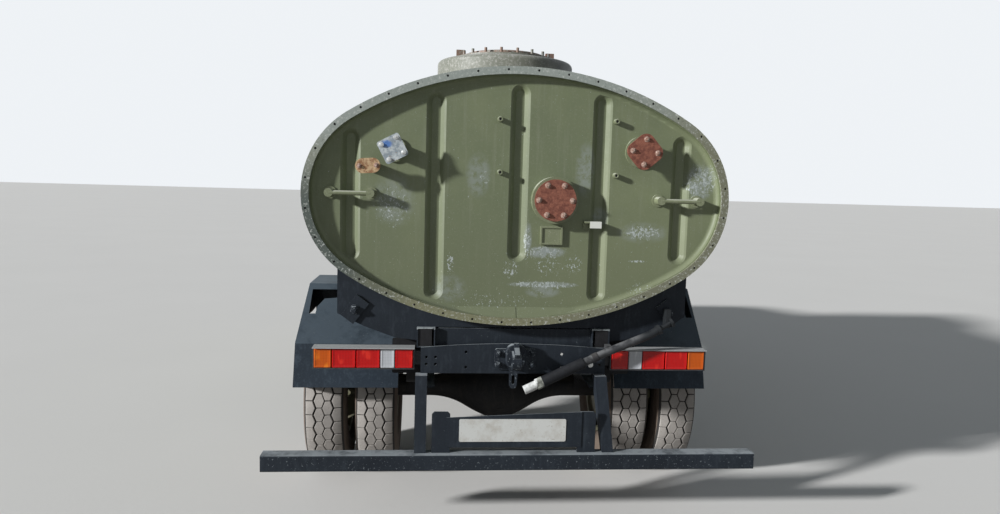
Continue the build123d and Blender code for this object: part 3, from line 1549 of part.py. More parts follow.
# Bonnet: crossed side, plan and front profiles, hollow below
def bonnet_block(inset):
    """The bonnet's outer form, smaller by inset but open below."""
    floor_z = bonnet_floor_z - (30 if inset else 0)
    with BuildPart() as form:
        with BuildSketch(Plane.YZ.offset(-bonnet_rear_half - 50)):
            with BuildLine():
                Polyline(
                    (bonnet_rear_y - inset, bonnet_rear_z - inset),
                    (bonnet_rear_y - inset, floor_z),
                    (bonnet_front_y + inset, floor_z),
                    (bonnet_front_y + inset, bonnet_nose_z - inset),
                    (bonnet_front_y + bonnet_nose_slope + inset, bonnet_shoulder_z - inset),
                )
                ThreePointArc(
                    (bonnet_front_y + bonnet_nose_slope + inset, bonnet_shoulder_z - inset),
                    ((bonnet_front_y + bonnet_rear_y) / 2, bonnet_middle_z - inset),
                    (bonnet_rear_y - inset, bonnet_rear_z - inset),
                )
            make_face()
        extrude(amount=2 * bonnet_rear_half + 100)
        with BuildSketch(Plane.XY.offset(bonnet_floor_z - 60)):
            Polygon(
                (-bonnet_front_half + inset, bonnet_front_y - 10),
                (bonnet_front_half - inset, bonnet_front_y - 10),
                (bonnet_rear_half - inset, bonnet_rear_y + 10),
                (-bonnet_rear_half + inset, bonnet_rear_y + 10),
                align=None,
            )
        extrude(amount=600, mode=Mode.INTERSECT)
    return form.part


bonnet_outer = bonnet_block(0)
bonnet_inner = bonnet_block(sheet_wall)
with BuildPart() as bonnet:
    add(bonnet_outer)
    fillet(bonnet.edges().filter_by(GeomType.LINE, reverse=True).filter_by(
        lambda edge: abs(edge.center().X) > bonnet_front_half / 2
    ), bonnet_edge_radius)
    add(bonnet_inner, mode=Mode.SUBTRACT)
    for side in (-1, 1):
        pin_x = side * bonnet_hinge_x
        tube_x(bonnet_rear_y, bonnet_pin_z, (pin_x - 31, pin_x + 31), barrel_radius)
        tube_x(bonnet_rear_y, bonnet_pin_z, (pin_x - 56, pin_x + 56), hinge_radius)
        block(
            (pin_x - 31, pin_x + 31),
            (bonnet_rear_y - 40, bonnet_rear_y),
            (bonnet_rear_z - 22, bonnet_rear_z + 10),
        )
save(bonnet, "bonnet")

# Seats and dashboard inside the cab
with BuildPart() as seats:
    block((-820, 820), (cab_rear_y - 640, cab_rear_y - 140), (1245 + seat_gap, 1390))
    fillet(seats.edges().filter_by(Axis.X), 40)
    with BuildSketch(Plane.YZ.offset(-820)):
        Polygon(
            (cab_rear_y - 200, 1390 + seat_gap), (cab_rear_y - 90, 1390 + seat_gap),
            (cab_rear_y - cab_wall - seat_gap, 1800), (cab_rear_y - cab_wall - seat_gap, 1880),
            (cab_rear_y - 130, 1880),
            align=None,
        )
    extrude(amount=1640)
save(seats, "seats")

wheel_center = Vector(430, cab_front_y + 370, 1560)
with BuildPart() as dashboard:
    with BuildSketch(Plane.YZ.offset(-920)):
        Polygon(
            (cab_front_y + cab_wall, 1330), (cab_front_y + 180, 1300), (cab_front_y + 260, 1390),
            (cab_front_y + 240, 1470), (cab_front_y + cab_wall, 1475),
            align=None,
        )
    extrude(amount=1840)
    with BuildSketch(Plane(origin=wheel_center, z_dir=(0, -0.6, -1))):
        Circle(26)
    extrude(amount=230)
    with Locations(Plane(origin=wheel_center, z_dir=(0, 0.6, 1))):
        Torus(190, 13)
        Box(380, 24, 12)
        Box(24, 380, 12)
save(dashboard, "dashboard")

# Mirrors on arms from the front pillars
with BuildPart() as mirrors:
    block((cab_half, 1120), (front_y + 1375, front_y + 1393), (1430, 1448))
    block((1102, 1120), (front_y + 1375, front_y + 1393), (1430, 1860))
    block((cab_half, 1120), (front_y + 1375, front_y + 1393), (1330, 1345))
    block((1102, 1120), (front_y + 1375, front_y + 1393), (1330, 1440))
    block((1050, 1170), (front_y + 1393, front_y + 1417), (1640, 1860))
    mirror(about=Plane.YZ)
save(mirrors, "mirrors")
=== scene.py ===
import json
import math

import bmesh
import bpy
import numpy as np
from mathutils import Matrix, Vector


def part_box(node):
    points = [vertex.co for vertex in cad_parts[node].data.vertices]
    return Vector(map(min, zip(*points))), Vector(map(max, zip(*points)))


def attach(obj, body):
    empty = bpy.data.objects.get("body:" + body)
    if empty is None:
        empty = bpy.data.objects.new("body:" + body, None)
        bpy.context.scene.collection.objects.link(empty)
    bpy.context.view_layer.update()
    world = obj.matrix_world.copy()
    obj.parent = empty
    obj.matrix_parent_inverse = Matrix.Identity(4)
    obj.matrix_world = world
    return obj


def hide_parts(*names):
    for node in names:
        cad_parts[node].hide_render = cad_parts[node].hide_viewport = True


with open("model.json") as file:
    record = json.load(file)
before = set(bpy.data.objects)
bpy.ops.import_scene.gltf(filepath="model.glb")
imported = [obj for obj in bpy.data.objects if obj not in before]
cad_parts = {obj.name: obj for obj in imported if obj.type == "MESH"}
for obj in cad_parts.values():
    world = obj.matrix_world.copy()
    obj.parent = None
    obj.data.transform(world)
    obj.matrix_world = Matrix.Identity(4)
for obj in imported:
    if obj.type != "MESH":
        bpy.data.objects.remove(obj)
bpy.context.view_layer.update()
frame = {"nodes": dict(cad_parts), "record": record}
nodes = frame["nodes"]
HOME = {node: body for body, names in frame["record"]["behaviour"]["bodies"].items() for node in names}

# Directions, and places in metres, that several pieces share
SIDES = (-1, 1)
HANDS = (("left", 1), ("right", -1))
REARWARD = (0, 1, 0)
AXLES = {"front": -1.91, "rear": 1.79}
AXLE_Z = 0.478
TANK_Z = 1.6455
TANK_OVAL = (1.028, 0.6175, 0.45)  # half width, half height, radius of the side arcs
RIM_Y = (2.6935, 2.6945)  # the head's paint ends and the rim's starts between these


# Camera, lights and floor
def aim_camera():
    """The fitted camera: behind the truck, a little to its left, level with the tank."""
    yaw, pitch, roll = (math.radians(a) for a in (5.23, 5.89, 1.62))
    forward = Vector((-math.sin(yaw) * math.cos(pitch), -math.cos(yaw) * math.cos(pitch),
                      -math.sin(pitch)))
    right = Vector((-math.cos(yaw), math.sin(yaw), 0))
    up = right.cross(forward)
    side = math.cos(roll) * right + math.sin(roll) * up
    top = math.cos(roll) * up - math.sin(roll) * right
    data = bpy.data.cameras.new("camera")
    data.lens, data.sensor_width, data.sensor_fit, data.clip_end = 26.82, 36, "HORIZONTAL", 300
    camera = bpy.data.objects.new("camera", data)
    bpy.context.scene.collection.objects.link(camera)
    turn = Matrix((side, top, -forward)).transposed()
    camera.matrix_world = Matrix.Translation((0.413, 6.247, 1.729)) @ turn.to_4x4()
    bpy.context.scene.camera = camera


def shine():
    """The key light: a low sun from the truck's left rear."""
    data = bpy.data.lights.new("key", "SUN")
    data.energy, data.angle = 5.55, 0.06
    sun = bpy.data.objects.new("key", data)
    bpy.context.scene.collection.objects.link(sun)
    sun.location = (8, 3.3, 2.9)
    sun.rotation_euler = (Vector((0, 0, 0.1)) - sun.location).to_track_quat("-Z", "Y").to_euler()


# Node helpers for the materials
class Stuff:
    """A procedural material under construction."""

    def __init__(self, name, **inputs):
        self.mat = bpy.data.materials.new(name)
        self.mat.use_nodes = True
        self.tree = self.mat.node_tree
        self.tree.nodes.clear()
        out = self.node("ShaderNodeOutputMaterial")
        self.bsdf = self.node("ShaderNodeBsdfPrincipled")
        for key, value in inputs.items():
            self.bsdf.inputs[key.replace("_", " ")].default_value = value
        self.join(self.bsdf.outputs[0], out.inputs[0])
        self.place = self.node("ShaderNodeTexCoord").outputs["Object"]
        self.split = self.tone = None

    def node(self, kind, **props):
        made = self.tree.nodes.new(kind)
        for key, value in props.items():
            setattr(made, key, value)
        return made

    def join(self, source, target):
        self.tree.links.new(source, target)

    def feed(self, target, value):
        """Give a socket a link, a colour or a number."""
        if isinstance(value, bpy.types.NodeSocket):
            self.join(value, target)
        elif target.type == "RGBA":
            target.default_value = (*value, 1)
        else:
            target.default_value = value

    def stretch(self, scale):
        """Object coordinates with each axis scaled by its own factor."""
        made = self.node("ShaderNodeMapping")
        self.join(self.place, made.inputs["Vector"])
        made.inputs["Scale"].default_value = scale
        return made.outputs[0]

    def texture(self, kind, scale, output, vector=None, **props):
        made = self.node("ShaderNodeTex" + kind, **props)
        self.join(vector or self.place, made.inputs["Vector"])
        made.inputs["Scale"].default_value = scale
        return made.outputs[output]

    def noise(self, scale, detail, rough=0.55, vector=None, warp=0.0):
        made = self.texture("Noise", scale, "Fac", vector)
        for key, value in (("Detail", detail), ("Roughness", rough), ("Distortion", warp)):
            made.node.inputs[key].default_value = value
        return made

    def cells(self, scale):
        """Distance to the nearest of many scattered points."""
        return self.texture("Voronoi", scale, "Distance")

    def waves(self, direction, scale):
        """Even ribs along one object axis."""
        return self.texture("Wave", scale, "Fac", bands_direction=direction)

    def math(self, operation, *values):
        made = self.node("ShaderNodeMath", operation=operation)
        for socket, value in zip(made.inputs, values):
            self.feed(socket, value)
        return made.outputs[0]

    def times(self, a, b):
        return self.math("MULTIPLY", a, b)

    def step(self, value, low, high):
        """0 below low, 1 above high, and smooth between them, either way round."""
        made = self.node("ShaderNodeMapRange", interpolation_type="SMOOTHSTEP")
        for socket, number in zip(made.inputs, (value, low, high)):
            self.feed(socket, number)
        return made.outputs[0]

    def mix(self, share, a, b):
        """Colour a where the share is 0, b where it is 1."""
        made = self.node("ShaderNodeMix", data_type="RGBA")
        for index, value in ((0, share), (6, a), (7, b)):
            self.feed(made.inputs[index], value)
        return made.outputs[2]

    def over(self, share, color, most=1.0):
        """Lay a colour over the tone, by a share of at most this much."""
        if most != 1.0:
            share = self.times(share, most)
        self.tone = self.mix(share, self.tone, color)

    def painted(self):
        """The material, coloured with its tone."""
        self.feed(self.bsdf.inputs["Base Color"], self.tone)
        return self.mat

    def patch(self, scale, detail, rough, low, high):
        """Noise cut to soft-edged patches."""
        return self.step(self.noise(scale, detail, rough), low, high)

    def axis(self, name):
        """One object coordinate, in metres."""
        if self.split is None:
            self.split = self.node("ShaderNodeSeparateXYZ")
            self.join(self.place, self.split.inputs[0])
        return self.split.outputs[name]

    def past(self, name, low, high):
        """0 below low and 1 above high along one object axis, either way round."""
        return self.step(self.axis(name), low, high)

    def upward(self):
        """The upward part of the surface normal."""
        made = self.node("ShaderNodeSeparateXYZ")
        self.join(self.node("ShaderNodeNewGeometry").outputs["Normal"], made.inputs[0])
        return made.outputs["Z"]

    def spot(self, x, z, wide, tall):
        """1 in the middle third of an upright ellipse on the head, fading to 0 at its rim."""
        across = self.math("DIVIDE", self.math("SUBTRACT", self.axis("X"), x), wide)
        along = self.math("DIVIDE", self.math("SUBTRACT", self.axis("Z"), z), tall)
        square = self.math("ADD", self.times(across, across), self.times(along, along))
        return self.step(square, 1.0, 0.1125)

    def bump(self, height, distance, strength):
        made = self.node("ShaderNodeBump")
        made.inputs["Distance"].default_value = distance
        made.inputs["Strength"].default_value = strength
        self.join(height, made.inputs["Height"])
        self.join(made.outputs[0], self.bsdf.inputs["Normal"])

    def rough(self, value):
        self.feed(self.bsdf.inputs["Roughness"], value)


def scaled(color, share):
    return tuple(c * share for c in color)


def old_paint(name, base, shade, dust, dust_share, roughness=0.55, top=None):
    """Sun-bleached paint: cloudy tone, run-off streaks and dust on what faces up."""
    s = Stuff(name, Roughness=roughness)
    s.tone = s.mix(s.patch(1.7, 5, 0.6, 0.35, 0.68), base, shade)
    streak = s.noise(5.0, 3, 0.6, s.stretch((9, 9, 0.55)))
    s.over(s.step(streak, 0.52, 0.75), dust, 0.22)
    fine = s.noise(95, 3, 0.7)
    s.over(s.step(fine, 0.5, 0.72), dust, 0.2)
    up = s.times(s.step(s.upward(), 0.45, 1.0), dust_share)
    s.over(s.times(up, s.patch(7, 5, 0.65, 0.22, 0.55)), top or dust)
    s.bump(s.math("ADD", s.noise(6, 4), s.times(fine, 0.12)), 0.0016, 0.5)
    s.rough(s.math("MULTIPLY_ADD", s.noise(14, 4), 0.3, roughness - 0.15))
    return s


def rust(name, dark, light, scale):
    """Cloudy, pitted rust or rough casting."""
    s = Stuff(name, Roughness=0.8, Metallic=0.15)
    s.tone = s.mix(s.patch(scale, 6, 0.7, 0.38, 0.66), dark, light)
    pits = s.cells(scale * 4)
    s.over(s.step(pits, 0.35, 0.05), scaled(dark, 0.45))
    s.bump(s.math("ADD", s.noise(scale * 2, 5, 0.7), pits), 0.0015, 0.7)
    return s.painted()


# Finishes
def worn_spots(s, table):
    """The strongest of several soft ellipses on the head."""
    worn = None
    for x, z, wide, tall, share in table:
        spot = s.times(s.spot(x, z, wide, tall), share)
        worn = spot if worn is None else s.math("MAXIMUM", worn, spot)
    return worn


def tank_paint():
    """Olive paint of the tank: rim worn pale above and brown below, scuffs on the head."""
    s = old_paint("tank_paint", (0.158, 0.182, 0.100), (0.124, 0.147, 0.082),
                  (0.235, 0.25, 0.185), 0.75)
    s.over(s.past("Z", 1.75, 1.2), (0.118, 0.133, 0.076), 0.55)
    # The recessed head alone, without the shell and the rim
    head = s.times(s.past("Y", 2.60, 2.62), s.past("Y", *reversed(RIM_Y)))
    # Columns: x, z, half width, half height, share of each scuffed patch
    hazy = [
        (-0.136, 1.385, 0.115, 0.034, 1.0), (-0.050, 1.445, 0.022, 0.10, 0.8),
        (-0.322, 1.79, 0.06, 0.15, 0.6), (-0.895, 1.745, 0.085, 0.105, 1.0),
        (-0.13, 1.19, 0.10, 0.035, 0.6), (0.20, 1.75, 0.07, 0.12, 0.5), (0.60, 1.62, 0.12, 0.14, 0.45),
        (-0.135, 1.225, 0.20, 0.018, 0.9), (0.33, 1.20, 0.10, 0.08, 0.4),
        (-0.62, 1.49, 0.15, 0.06, 0.45), (-0.40, 1.56, 0.05, 0.06, 0.5),
    ]
    flaky = [
        (-0.136, 1.385, 0.13, 0.05, 0.8), (-0.045, 1.43, 0.024, 0.12, 0.9),
        (-0.895, 1.745, 0.10, 0.115, 0.9), (-0.13, 1.225, 0.22, 0.024, 1.0),
        (-0.615, 1.492, 0.13, 0.045, 1.0), (0.60, 1.59, 0.11, 0.12, 0.7),
        (-0.60, 1.348, 0.07, 0.008, 1.2), (0.03, 1.30, 0.05, 0.07, 0.8), (0.325, 1.32, 0.025, 0.07, 1.0),
        (-0.16, 1.32, 0.11, 0.06, 0.6), (-0.28, 1.33, 0.06, 0.06, 0.7), (0.17, 1.733, 0.03, 0.06, 0.7),
        (-0.63, 1.21, 0.12, 0.05, 0.5), (0.12, 1.14, 0.25, 0.05, 0.45),
    ]
    haze = s.times(worn_spots(s, hazy), s.patch(30, 8, 0.75, 0.36, 0.58))
    s.over(s.times(haze, head), (0.30, 0.335, 0.345), 0.72)
    scratch = s.noise(105, 6, 0.72, s.stretch((1, 1, 0.75)), 0.5)
    flakes = s.step(s.math("ADD", scratch, s.times(worn_spots(s, flaky), 0.15)), 0.655, 0.70)
    s.over(s.times(flakes, head), (0.39, 0.43, 0.42))
    low = s.past("Z", 1.62, 1.08)
    chips = s.step(s.math("ADD", s.noise(120, 5, 0.65), s.times(low, 0.05)), 0.705, 0.73)
    s.over(s.times(chips, head), (0.36, 0.39, 0.30))
    # The rim: pale above, cool on its left, brown below, speckled all round
    lean = s.math("MULTIPLY_ADD", s.axis("X"), 0.16, s.axis("Z"))
    side = s.math("MULTIPLY_ADD", s.axis("X"), -0.9, s.times(s.axis("Z"), -0.6))
    pale = s.step(s.math("ADD", lean, s.times(s.noise(9, 5, 0.7), 0.4)), 1.85, 2.35)
    cool = s.step(s.math("ADD", s.axis("X"), s.times(s.noise(5, 4), 0.3)), 0.65, 1.0)
    cool = s.times(cool, s.past("Z", 1.85, 1.60))
    speck = s.noise(75, 7, 0.8)
    ring = s.mix(pale, (0.165, 0.165, 0.095), (0.255, 0.285, 0.262))
    ring = s.mix(s.times(cool, 0.9), ring, (0.050, 0.066, 0.062))
    ring = s.mix(s.times(s.step(side, -0.75, -0.10), 0.75), ring, (0.138, 0.142, 0.102))
    ring = s.mix(s.step(speck, 0.53, 0.63), ring, (0.44, 0.46, 0.43))
    ring = s.mix(s.step(speck, 0.43, 0.33), ring, (0.075, 0.075, 0.06))
    s.over(s.past("Y", *RIM_Y), ring)
    return s.painted()


def fittings_paint():
    """Paint of the head's handles, studs and necks, rubbed pale on what faces up."""
    s = old_paint("fittings_paint", (0.175, 0.195, 0.115), (0.14, 0.16, 0.09),
                  (0.30, 0.31, 0.23), 0.8)
    rubbed = s.step(s.math("MULTIPLY_ADD", s.noise(60, 5, 0.7), 0.5, s.upward()), 0.55, 0.95)
    s.over(rubbed, (0.42, 0.44, 0.36), 0.8)
    s.over(s.patch(110, 5, 0.7, 0.60, 0.68), (0.40, 0.41, 0.33), 0.7)
    s.over(s.patch(45, 5, 0.7, 0.36, 0.28), (0.07, 0.07, 0.05))
    # The small block on the head, bare and pale on its face
    bare = s.times(s.past("X", -0.343, -0.3435), s.past("X", -0.401, -0.4005))
    bare = s.times(bare, s.times(s.past("Z", 1.505, 1.509), s.past("Z", 1.55, 1.545)))
    s.over(s.times(bare, s.past("Y", 2.695, 2.700)), (0.66, 0.67, 0.62))
    return s.painted()


def cover_finish():
    """The head's bolted covers: one galvanised, one yellow with rust, two red with rust."""
    s = Stuff("cover_finish", Roughness=0.7, Metallic=0.2)
    grit = s.noise(75, 6, 0.75)
    red = s.mix(s.patch(48, 6, 0.7, 0.36, 0.64), (0.13, 0.040, 0.026), (0.255, 0.095, 0.060))
    red = s.mix(s.step(grit, 0.60, 0.70), red, (0.36, 0.18, 0.13))
    red = s.mix(s.step(grit, 0.38, 0.30), red, (0.045, 0.018, 0.013))
    tan = s.mix(s.patch(60, 6, 0.7, 0.40, 0.60), (0.24, 0.12, 0.055), (0.50, 0.36, 0.21))
    zinc = s.mix(s.patch(36, 6, 0.7, 0.40, 0.62), (0.23, 0.27, 0.30), (0.47, 0.51, 0.52))
    zinc = s.mix(s.patch(85, 5, 0.7, 0.60, 0.70), zinc, (0.30, 0.16, 0.08))
    zinc = s.mix(s.times(s.spot(0.630, 1.880, 0.030, 0.022), 0.85), zinc, (0.05, 0.16, 0.45))
    # A slanting line parts the galvanised cover from the yellow one beside it
    slant = s.math("MULTIPLY_ADD", s.axis("X"), 0.81, s.times(s.axis("Z"), -0.586))
    s.tone = s.mix(s.step(slant, -0.528, -0.526), zinc, tan)
    s.over(s.past("X", 0.40, 0.39), red)
    s.bump(s.math("ADD", s.noise(110, 5, 0.7), s.cells(260)), 0.0012, 0.6)
    return s.painted()


def dome_paint():
    """Crusted paint of the filler dome, with painted shade on one side, rusty on top."""
    s = old_paint("dome_paint", (0.185, 0.190, 0.155), (0.130, 0.140, 0.115),
                  (0.29, 0.285, 0.26), 0.85)
    crust = s.noise(64, 8, 0.8)
    s.over(s.step(crust, 0.50, 0.62), (0.34, 0.335, 0.31))
    s.over(s.step(crust, 0.42, 0.34), (0.10, 0.085, 0.06))
    # Painted shade on the side away from the sun
    side = s.step(s.math("MULTIPLY_ADD", s.noise(6, 4), 0.2, s.axis("X")), 0.02, -0.20)
    s.over(side, (0.050, 0.060, 0.065), 0.8)
    top = s.times(s.past("Z", 2.440, 2.446), s.patch(18, 4, 0.7, 0.42, 0.58))
    s.over(top, (0.20, 0.10, 0.065), 0.75)
    return s.painted()


def chipped(name, tones, edge, pale=None):
    """Dark paint, streaked and chipped, dusty on what faces up and pale past the given limits."""
    base, shade, dust, top = tones
    s = old_paint(name, base, shade, dust, 0.95, 0.6, top)
    s.bsdf.inputs["Specular IOR Level"].default_value = 0.18
    grime = s.noise(22, 6, 0.72, s.stretch((1, 1, 0.35)))
    s.over(s.step(grime, 0.5, 0.72), dust, 0.5)
    s.over(s.patch(90, 5, 0.7, edge, edge + 0.03), (0.24, 0.27, 0.29), 0.7)
    if pale:
        strip = s.patch(35, 5, 0.7, 0.36, 0.5)
        for axis, low, high in pale:
            strip = s.times(strip, s.past(axis, low, high))
        s.over(strip, (0.30, 0.33, 0.34))
    return s.painted()


def dusty(name, roughness, base, light, dust, share=1.0):
    """Dark rubber, moulding or pipe, dusty on what faces up."""
    s = Stuff(name, Roughness=roughness, Specular_IOR_Level=0.25)
    s.tone = s.mix(s.patch(40, 5, 0.7, 0.4, 0.7), base, light)
    up = s.times(s.step(s.upward(), -0.1, 0.9), share)
    s.over(s.times(up, s.patch(25, 5, 0.55, 0.35, 0.6)), dust)
    s.bump(s.noise(90, 4), 0.0008, 0.5)
    return s


def rubber(name, base, dust, share):
    return dusty(name, 0.72, base, scaled(base, 1.8), dust, share).painted()


def pipe_paint():
    """Dusty pipe, with painted shade that makes it near black at its far end, a dull nut and a pale
    nozzle.
    """
    s = dusty("dusty_pipe_painted_shade", 0.6, (0.028, 0.029, 0.031), (0.055, 0.056, 0.060), (0.12, 0.123, 0.127))
    # Painted shade: near black towards the pipe's far end
    s.over(s.past("X", -0.58, -0.66), (0.010, 0.012, 0.014), 0.92)
    nut = s.mix(s.patch(50, 5, 0.7, 0.42, 0.6), (0.13, 0.135, 0.12), (0.30, 0.31, 0.28))
    nozzle = s.mix(s.patch(40, 5, 0.7, 0.45, 0.65), (0.62, 0.63, 0.62), (0.40, 0.41, 0.40))
    s.over(s.past("X", -0.142, -0.140), nut)
    s.over(s.past("X", -0.1095, -0.1085), nozzle)
    return s.painted()


def bare_steel(name, base, roughness=0.38):
    s = Stuff(name, Roughness=roughness, Metallic=0.85)
    s.tone = s.mix(s.patch(60, 5, 0.7, 0.45, 0.7), base, scaled(base, 0.55))
    s.bump(s.noise(160, 3), 0.0004, 0.4)
    return s.painted()


def tyre_rubber(name, dust, deep, brown=0.0):
    """Dusty rubber, browner by a share."""
    s = Stuff(name, Roughness=0.9)
    s.tone = s.mix(s.patch(9, 6, 0.65, 0.35, 0.7), dust, scaled(dust, 0.78))
    s.over(s.patch(120, 4, 0.7, 0.56, 0.72), deep)
    s.over(brown, (0.105, 0.072, 0.05))
    s.bump(s.noise(170, 4, 0.7), 0.001, 0.6)
    return s.painted()


def lens_plastic(name, color, glow):
    """Moulded lens: prism ribs behind a smooth face, and patches of painted glow."""
    s = Stuff(name, Roughness=0.25, Coat_Weight=0.15, Coat_Roughness=0.06, Specular_IOR_Level=0.25)
    grid = s.math("ADD", s.waves("X", 42), s.waves("Z", 42))
    s.tone = s.mix(s.times(grid, 0.28), color, scaled(color, 0.55))
    # Brighter patches: a painted glow in the lens
    painted_glow = s.step(s.noise(26, 1, 0.4, s.stretch((1, 1, 0.45))), 0.60, 0.74)
    s.over(painted_glow, glow, 0.75)
    s.bump(grid, 0.0006, 0.35)
    return s.painted()


def window_glass():
    s = Stuff("window_glass", Roughness=0.03, Transmission_Weight=1.0, IOR=1.45)
    s.tone = s.mix(s.patch(4, 4, 0.55, 0.4, 0.75), (0.86, 0.93, 0.91), (0.80, 0.86, 0.83))
    s.rough(s.times(s.patch(9, 5, 0.7, 0.5, 0.9), 0.03))
    return s.painted()


def lamp_glass():
    s = Stuff("headlamp_glass", Roughness=0.08, Transmission_Weight=0.85, IOR=1.45)
    ribs = s.waves("X", 28)
    s.tone = s.mix(ribs, (0.92, 0.94, 0.93), (0.80, 0.83, 0.82))
    s.bump(ribs, 0.0015, 0.6)
    return s.painted()


def vinyl(name, base):
    s = Stuff(name, Roughness=0.5)
    grain = s.cells(420)
    s.tone = s.mix(s.patch(6, 5, 0.55, 0.35, 0.7), base, scaled(base, 0.7))
    s.over(s.step(grain, 0.2, 0.6), scaled(base, 0.6))
    s.bump(grain, 0.0006, 0.6)
    return s.painted()


def plain_plate():
    s = Stuff("plate_blank", Roughness=0.4)
    s.tone = s.mix(s.patch(12, 5, 0.7, 0.4, 0.75), (0.56, 0.57, 0.55), (0.42, 0.40, 0.36))
    s.over(s.patch(80, 4, 0.55, 0.6, 0.75), (0.35, 0.32, 0.28))
    s.bump(s.noise(50, 3), 0.0005, 0.4)
    return s.painted()


def housing_plastic():
    """Dark lamp housings, pale grey along their tops."""
    s = Stuff("lamp_housing", Roughness=0.65)
    s.tone = s.mix(s.patch(45, 6, 0.7, 0.4, 0.65), (0.016, 0.017, 0.019), (0.040, 0.042, 0.046))
    dust = s.mix(s.noise(60, 5, 0.7), (0.22, 0.23, 0.235), (0.42, 0.43, 0.43))
    # Pale grey along the tops of the housings
    s.over(s.past("Z", 0.8915, 0.8935), dust)
    return s.painted()


def mirror_face():
    s = Stuff("mirror_face", Roughness=0.04, Metallic=1.0)
    s.tone = s.mix(s.patch(8, 5, 0.7, 0.5, 0.8), (0.80, 0.82, 0.83), (0.62, 0.62, 0.60))
    return s.painted()


def seen_directly(tree):
    """1 for rays from the camera, off a glossy face or through glass, and 0 for other light."""
    path = tree.nodes.new("ShaderNodeLightPath")
    most = path.outputs["Is Camera Ray"]
    for ray in ("Is Glossy Ray", "Is Transmission Ray"):
        bigger = tree.nodes.new("ShaderNodeMath")
        bigger.operation = "MAXIMUM"
        tree.links.new(most, bigger.inputs[0])
        tree.links.new(path.outputs[ray], bigger.inputs[1])
        most = bigger.outputs[0]
    return most


def studio():
    """Pale floor and backdrop, a soft sky and the sun."""
    s = Stuff("floor", Roughness=0.9)
    pale = s.mix(s.noise(0.6, 5), (0.70, 0.69, 0.67), (0.74, 0.73, 0.71))
    s.tone = s.mix(seen_directly(s.tree), (0.36, 0.34, 0.32), pale)
    s.bump(s.noise(30, 5), 0.002, 0.25)
    bpy.ops.mesh.primitive_grid_add(x_subdivisions=4, y_subdivisions=4, size=160)
    floor = bpy.context.object
    floor.name = "floor"
    floor.data.materials.append(s.painted())
    shine()
    world = bpy.data.worlds.new("studio")
    bpy.context.scene.world = world
    world.use_nodes = True
    tree = world.node_tree
    tree.nodes.clear()
    out = tree.nodes.new("ShaderNodeOutputWorld")
    mix = tree.nodes.new("ShaderNodeMixShader")
    tree.links.new(seen_directly(tree), mix.inputs[0])
    # Columns: mixer's input, colour and strength, first of the sky's light, then of the backdrop
    for socket, tint, strength in ((1, (0.84, 0.93, 1.0, 1), 0.18), (2, (0.86, 0.89, 0.92, 1), 1.0)):
        glow = tree.nodes.new("ShaderNodeBackground")
        glow.inputs[0].default_value, glow.inputs[1].default_value = tint, strength
        tree.links.new(glow.outputs[0], mix.inputs[socket])
    tree.links.new(mix.outputs[0], out.inputs[0])
    bpy.context.scene.view_settings.view_transform = "Standard"


def dress(material, *names):
    for name in names:
        data = nodes[name].data
        data.materials.clear()
        data.materials.append(material)


aim_camera()
studio()
TANK = tank_paint()
DOME = dome_paint()
FITTING = fittings_paint()
COVER = cover_finish()
CHASSIS_TONES = ((0.009, 0.012, 0.017), (0.015, 0.020, 0.027), (0.036, 0.045, 0.056), (0.29, 0.32, 0.34))
CHASSIS = chipped("chassis_paint", CHASSIS_TONES, 0.695)
GUARD_TONES = ((0.012, 0.0185, 0.0265), (0.019, 0.028, 0.040), (0.060, 0.082, 0.105),
               (0.088, 0.115, 0.142))
GUARD = chipped("guard_paint", GUARD_TONES, 0.675)
UNDER_TONES = ((0.009, 0.010, 0.012), (0.018, 0.017, 0.016), (0.045, 0.040, 0.034), (0.10, 0.088, 0.072))
UNDER = chipped("underside_paint", UNDER_TONES, 0.72)
CAB = old_paint("cab_paint", (0.150, 0.165, 0.085), (0.115, 0.132, 0.068), (0.26, 0.25, 0.19),
                0.6, 0.45).painted()
WHEEL = old_paint("wheel_paint", (0.12, 0.135, 0.07), (0.16, 0.15, 0.10), (0.30, 0.26, 0.20),
                  0.5, 0.6).painted()
RUST_TAN = rust("rusty_bolts", (0.26, 0.14, 0.10), (0.56, 0.44, 0.38), 120)
RUST_DARK = rust("rusty_pipe", (0.07, 0.045, 0.03), (0.15, 0.09, 0.055), 30)
STEEL = bare_steel("bright_steel", (0.62, 0.63, 0.62))
DULL = bare_steel("dull_steel", (0.40, 0.39, 0.36), 0.5)
GLASS = window_glass()
LAMP = lamp_glass()
BLACK = rubber("dark_moulding", (0.018, 0.018, 0.020), (0.10, 0.095, 0.09), 0.4)
HOSE = rubber("sleeve_rubber", (0.004, 0.0045, 0.006), (0.018, 0.019, 0.022), 0.6)
PIPE = pipe_paint()
HOOK = chipped("hook_paint", CHASSIS_TONES, 0.60)
BAR = chipped("bar_paint", CHASSIS_TONES, 0.62, [("Z", 0.3355, 0.3325)])
tube_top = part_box("tank_beams")[1][2]
TUBE = chipped("tube_paint", CHASSIS_TONES, 0.66,
               [("Y", 2.62, 2.63), ("Z", tube_top - 0.010, tube_top - 0.008)])
